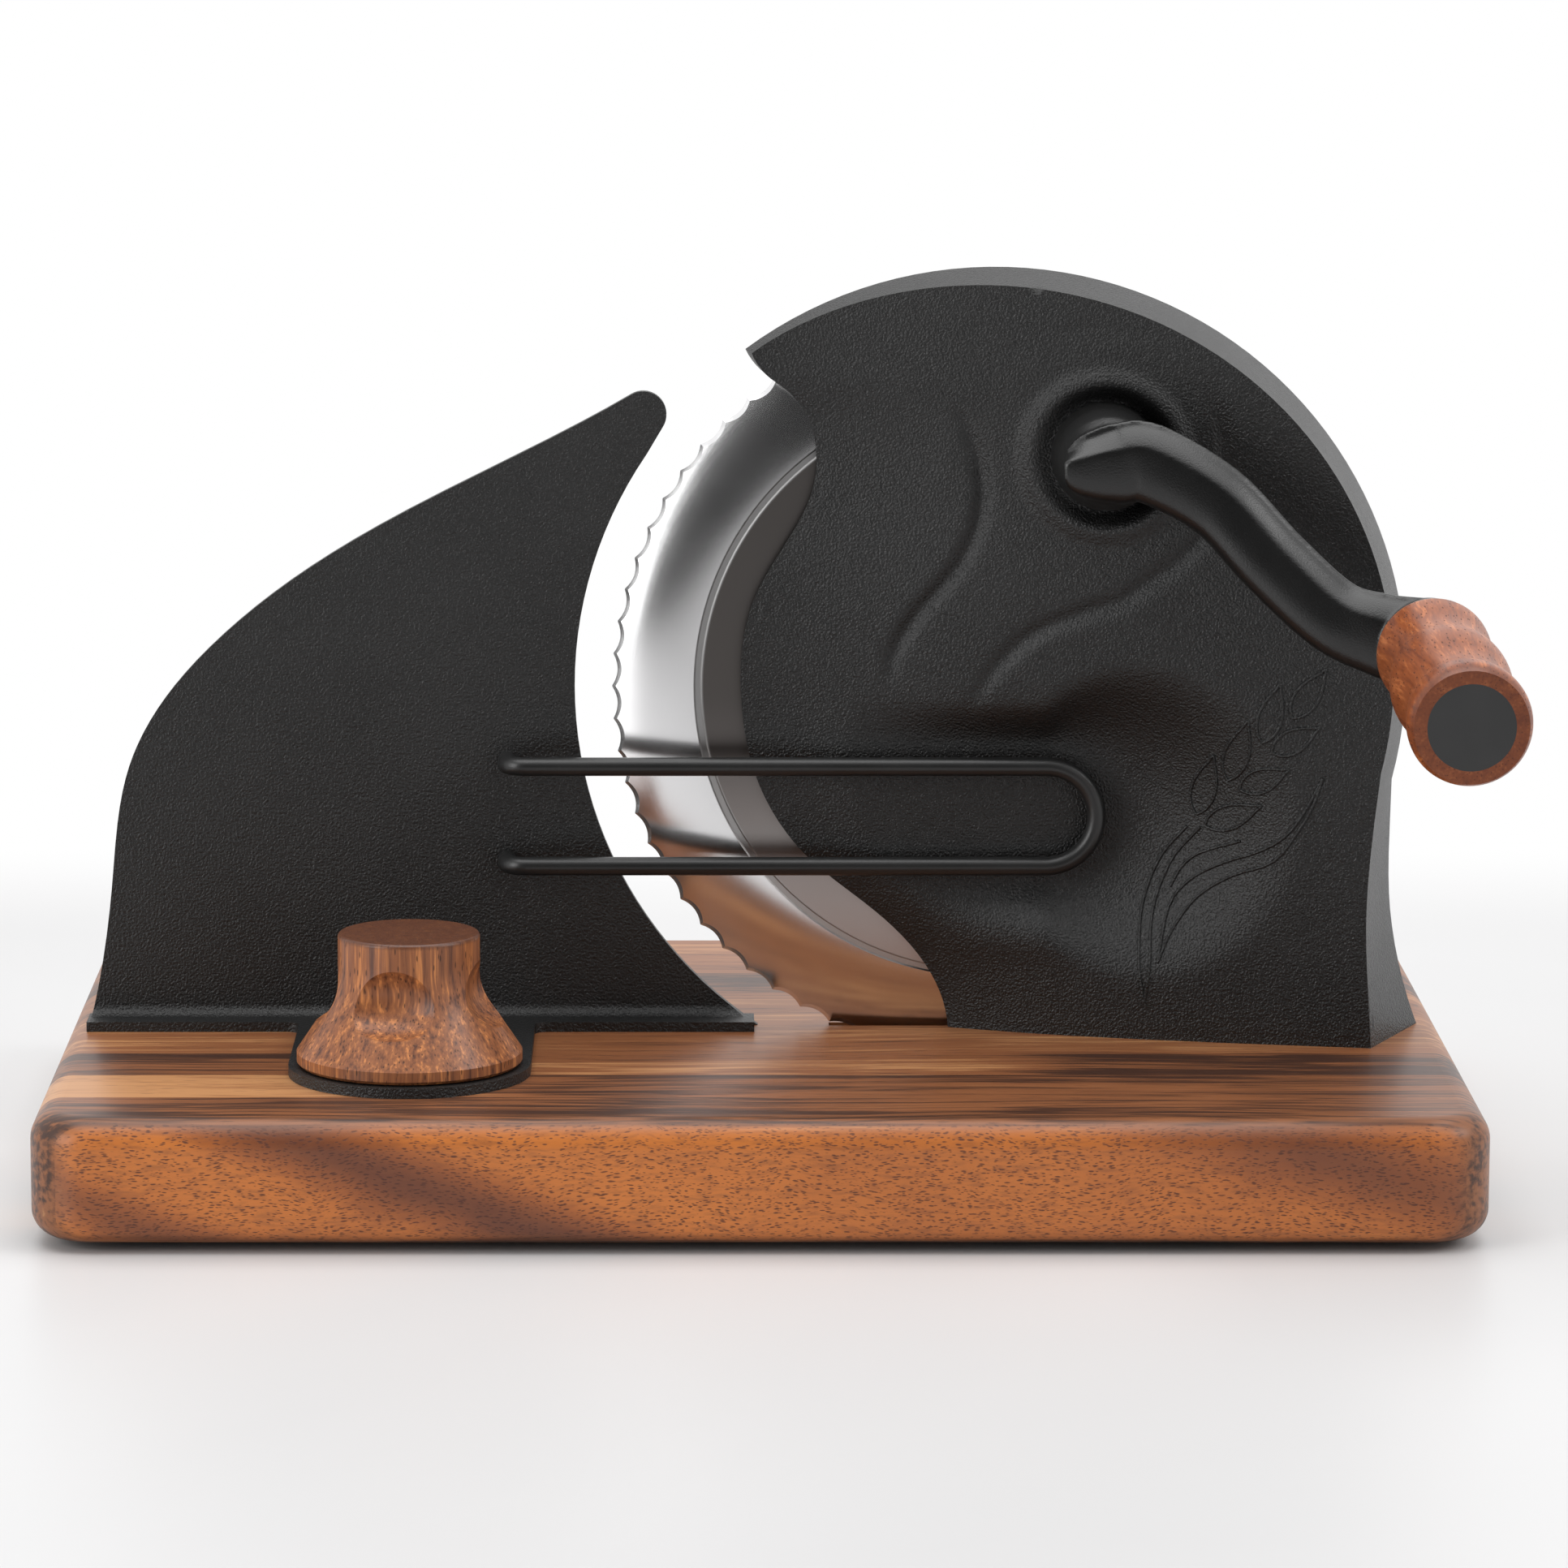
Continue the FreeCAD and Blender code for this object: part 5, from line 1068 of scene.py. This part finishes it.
def small_finish(name, colour, metallic, rough):
    stuff = Finish(name, Metallic=metallic)
    grain = stuff.noise(stuff.place, GRAINS_PER_METRE, 2.0)
    stuff.set("Base Color", stuff.mix(grain, tuple(c * 0.85 for c in colour), colour))
    stuff.set("Roughness", rough + (grain - 0.5) * UNEVEN)
    return stuff


wear(small_finish("zinc plate", (0.62, 0.62, 0.60), 1.0, 0.3), "foot_screws", "housing_screws",
     "screw_washers", "cover_screws", "axle_screw", "axle_washer", "blade_screws",
     "key_screws", "knob_washer")
wear(small_finish("black oxide steel", (0.03, 0.03, 0.03), 1.0, 0.4), "crank_set_screw")
wear(small_finish("turned steel", (0.55, 0.55, 0.55), 1.0, 0.28), "crank_shaft", "blade_axle",
     "grip_pin", "clamp_bolt", "drive_gear")
wear(small_finish("brass", (0.72, 0.50, 0.22), 1.0, 0.3), "crank_bush", "knob_insert")
wear(small_finish("white gear plastic", (0.72, 0.71, 0.66), 0.0, 0.45), "blade_gear")
wear(small_finish("bush plastic", (0.10, 0.10, 0.11), 0.0, 0.45), "blade_bush", "grip_bush",
     "guide_key")
wear(small_finish("foot rubber", (0.025, 0.025, 0.026), 0.0, 0.75), "rubber_feet")

# %% [markdown]
# ## The table
# The slicer stands on a plain pale table against white. Past the table's far edge a mix of
# its paint with a white glow lets it run out into the background without a line.

# %% The table
FLOOR_HALF_SIZE = (4.0, 2.2)
FLOOR_BACK_Y = 1.2
FADE_START_Y, FADE_END_Y = 0.30, 0.46


def make_plane(name, half_size, place, upright=False):
    """A flat piece of the stage, lying or upright."""
    mesh = bmesh.new()
    bmesh.ops.create_grid(mesh, x_segments=1, y_segments=1, size=1.0)
    bmesh.ops.scale(mesh, vec=(*half_size, 1.0), verts=mesh.verts)
    if upright:
        turn = Matrix.Rotation(math.radians(90), 3, "X")
        bmesh.ops.rotate(mesh, cent=(0, 0, 0), matrix=turn, verts=mesh.verts)
    bmesh.ops.translate(mesh, vec=place, verts=mesh.verts)
    data = bpy.data.meshes.new(name)
    mesh.to_mesh(data)
    mesh.free()
    plane = bpy.data.objects.new(name, data)
    bpy.context.scene.collection.objects.link(plane)
    print(name, "is", *(round(part, 2) for part in plane.dimensions), "m")
    return plane


def fade_to_white(table):
    """Past the table's far edge the camera sees only white."""
    white = table.add("Emission", inputs={"Color": (1.0, 1.0, 1.0)})
    seen = table.add("LightPath", output="Is Camera Ray")
    share = table.axis("Y").fade(FADE_START_Y, FADE_END_Y) * seen
    paint = Level(table, table.shader.outputs[0])
    blend = table.add("MixShader", inputs={"Fac": share, 1: paint, 2: white})
    table.feed(table.tree.nodes["Material Output"].inputs["Surface"], blend)


def make_floor():
    floor = make_plane("floor", FLOOR_HALF_SIZE, (0.0, FLOOR_BACK_Y - FLOOR_HALF_SIZE[1], 0.0))
    table = Finish("pale table", Roughness=0.4)
    veins = table.noise(table.place, 3.0, 4.0, 0.6, 0.8)
    table.set("Base Color", table.mix(veins, (0.70, 0.697, 0.70), (0.75, 0.747, 0.75)))
    fade_to_white(table)
    floor.data.materials.append(table.material)


make_floor()

# %% [markdown]
# ## The light
# A large soft lamp hangs over the slicer, and a smaller one stands on each side of it. What
# the camera and the mirroring steel see of the room is white, but the room lights the scene
# about half as strongly, so that the lamps give the shadows their direction.

# %% The lamps and the surroundings
ROOM_LIGHT = 0.48


def lamp(name, size, place, aim, power):
    """A flat lamp that faces its aim."""
    light = bpy.data.lights.new(name, "AREA")
    light.shape = "RECTANGLE"
    light.size, light.size_y = size
    light.energy = power
    stand = bpy.data.objects.new(name, light)
    stand.location = place
    stand.rotation_euler = (Vector(aim) - Vector(place)).to_track_quat("-Z", "Y").to_euler()
    bpy.context.scene.collection.objects.link(stand)
    print(name, "of", power, "W")


lamp("overhead lamp", size=(1.6, 1.4), place=(0.0, 0.0, 1.5), aim=(0.0, 0.0, 0.1), power=17.3)
lamp("left lamp", size=(0.8, 1.1), place=(-1.35, -0.95, 0.6), aim=(0.0, 0.0, 0.1), power=10.0)
lamp("right lamp", size=(0.7, 0.9), place=(1.35, -0.35, 1.1), aim=(0.1, 0.0, 0.1), power=8.0)


def make_surroundings():
    """White where the camera or a mirror looks, and softer where it only lights."""
    world = bpy.data.worlds.new("surroundings")
    bpy.context.scene.world = world
    world.use_nodes = True
    net = Net(world.node_tree)
    background = net.tree.nodes["Background"]
    seen = net.add("LightPath", output="Is Camera Ray")
    mirrored = net.add("LightPath", output="Is Glossy Ray")
    passed = net.add("LightPath", output="Is Transmission Ray")
    white = seen.at_least(mirrored).at_least(passed)
    net.feed(background.inputs["Strength"], white * (1 - ROOM_LIGHT) + ROOM_LIGHT)
    net.feed(background.inputs["Color"], (1.0, 1.0, 1.0))


make_surroundings()
bpy.context.scene.view_settings.view_transform = "Standard"

# %% [markdown]
# ## The dark side of the room
# What faces the camera mirrors the room behind it, and that room is dark, which is what
# gives black paint its shape. A large dark screen in front stands for it. The camera doesn't
# see it, only the reflections do.

# %% The screen
SCREEN_PLACE = (-0.55, -2.6, 1.3)
SCREEN_HALF_SIZE = (1.55, 1.3)


def make_screen():
    screen = make_plane("dark_screen", SCREEN_HALF_SIZE, SCREEN_PLACE, upright=True)
    screen.visible_camera = False
    cloth = Finish("dark cloth", Roughness=0.9)
    weave = cloth.noise(cloth.place, 400.0, 2.0)
    cloth.set("Base Color", cloth.mix(weave, (0.02, 0.02, 0.02), (0.03, 0.03, 0.03)))
    screen.data.materials.append(cloth.material)


make_screen()

# %% [markdown]
# ## The camera
# It looks down on the board by about ten degrees from a long way off, with a long lens.

# %% Place the camera
view = bpy.data.cameras.new("camera")
view.sensor_width = 36.0
view.sensor_fit = "HORIZONTAL"
view.lens = 152.795
view.shift_x = 0.0678
holder = bpy.data.objects.new("camera", view)
holder.location = (-0.0216129, -1.687649, 0.39245)
holder.rotation_euler = (math.radians(90.0 - 9.831), 0.0, 0.0)
bpy.context.scene.collection.objects.link(holder)
bpy.context.scene.camera = holder
print("width of view in degrees:", round(math.degrees(view.angle_x), 1))
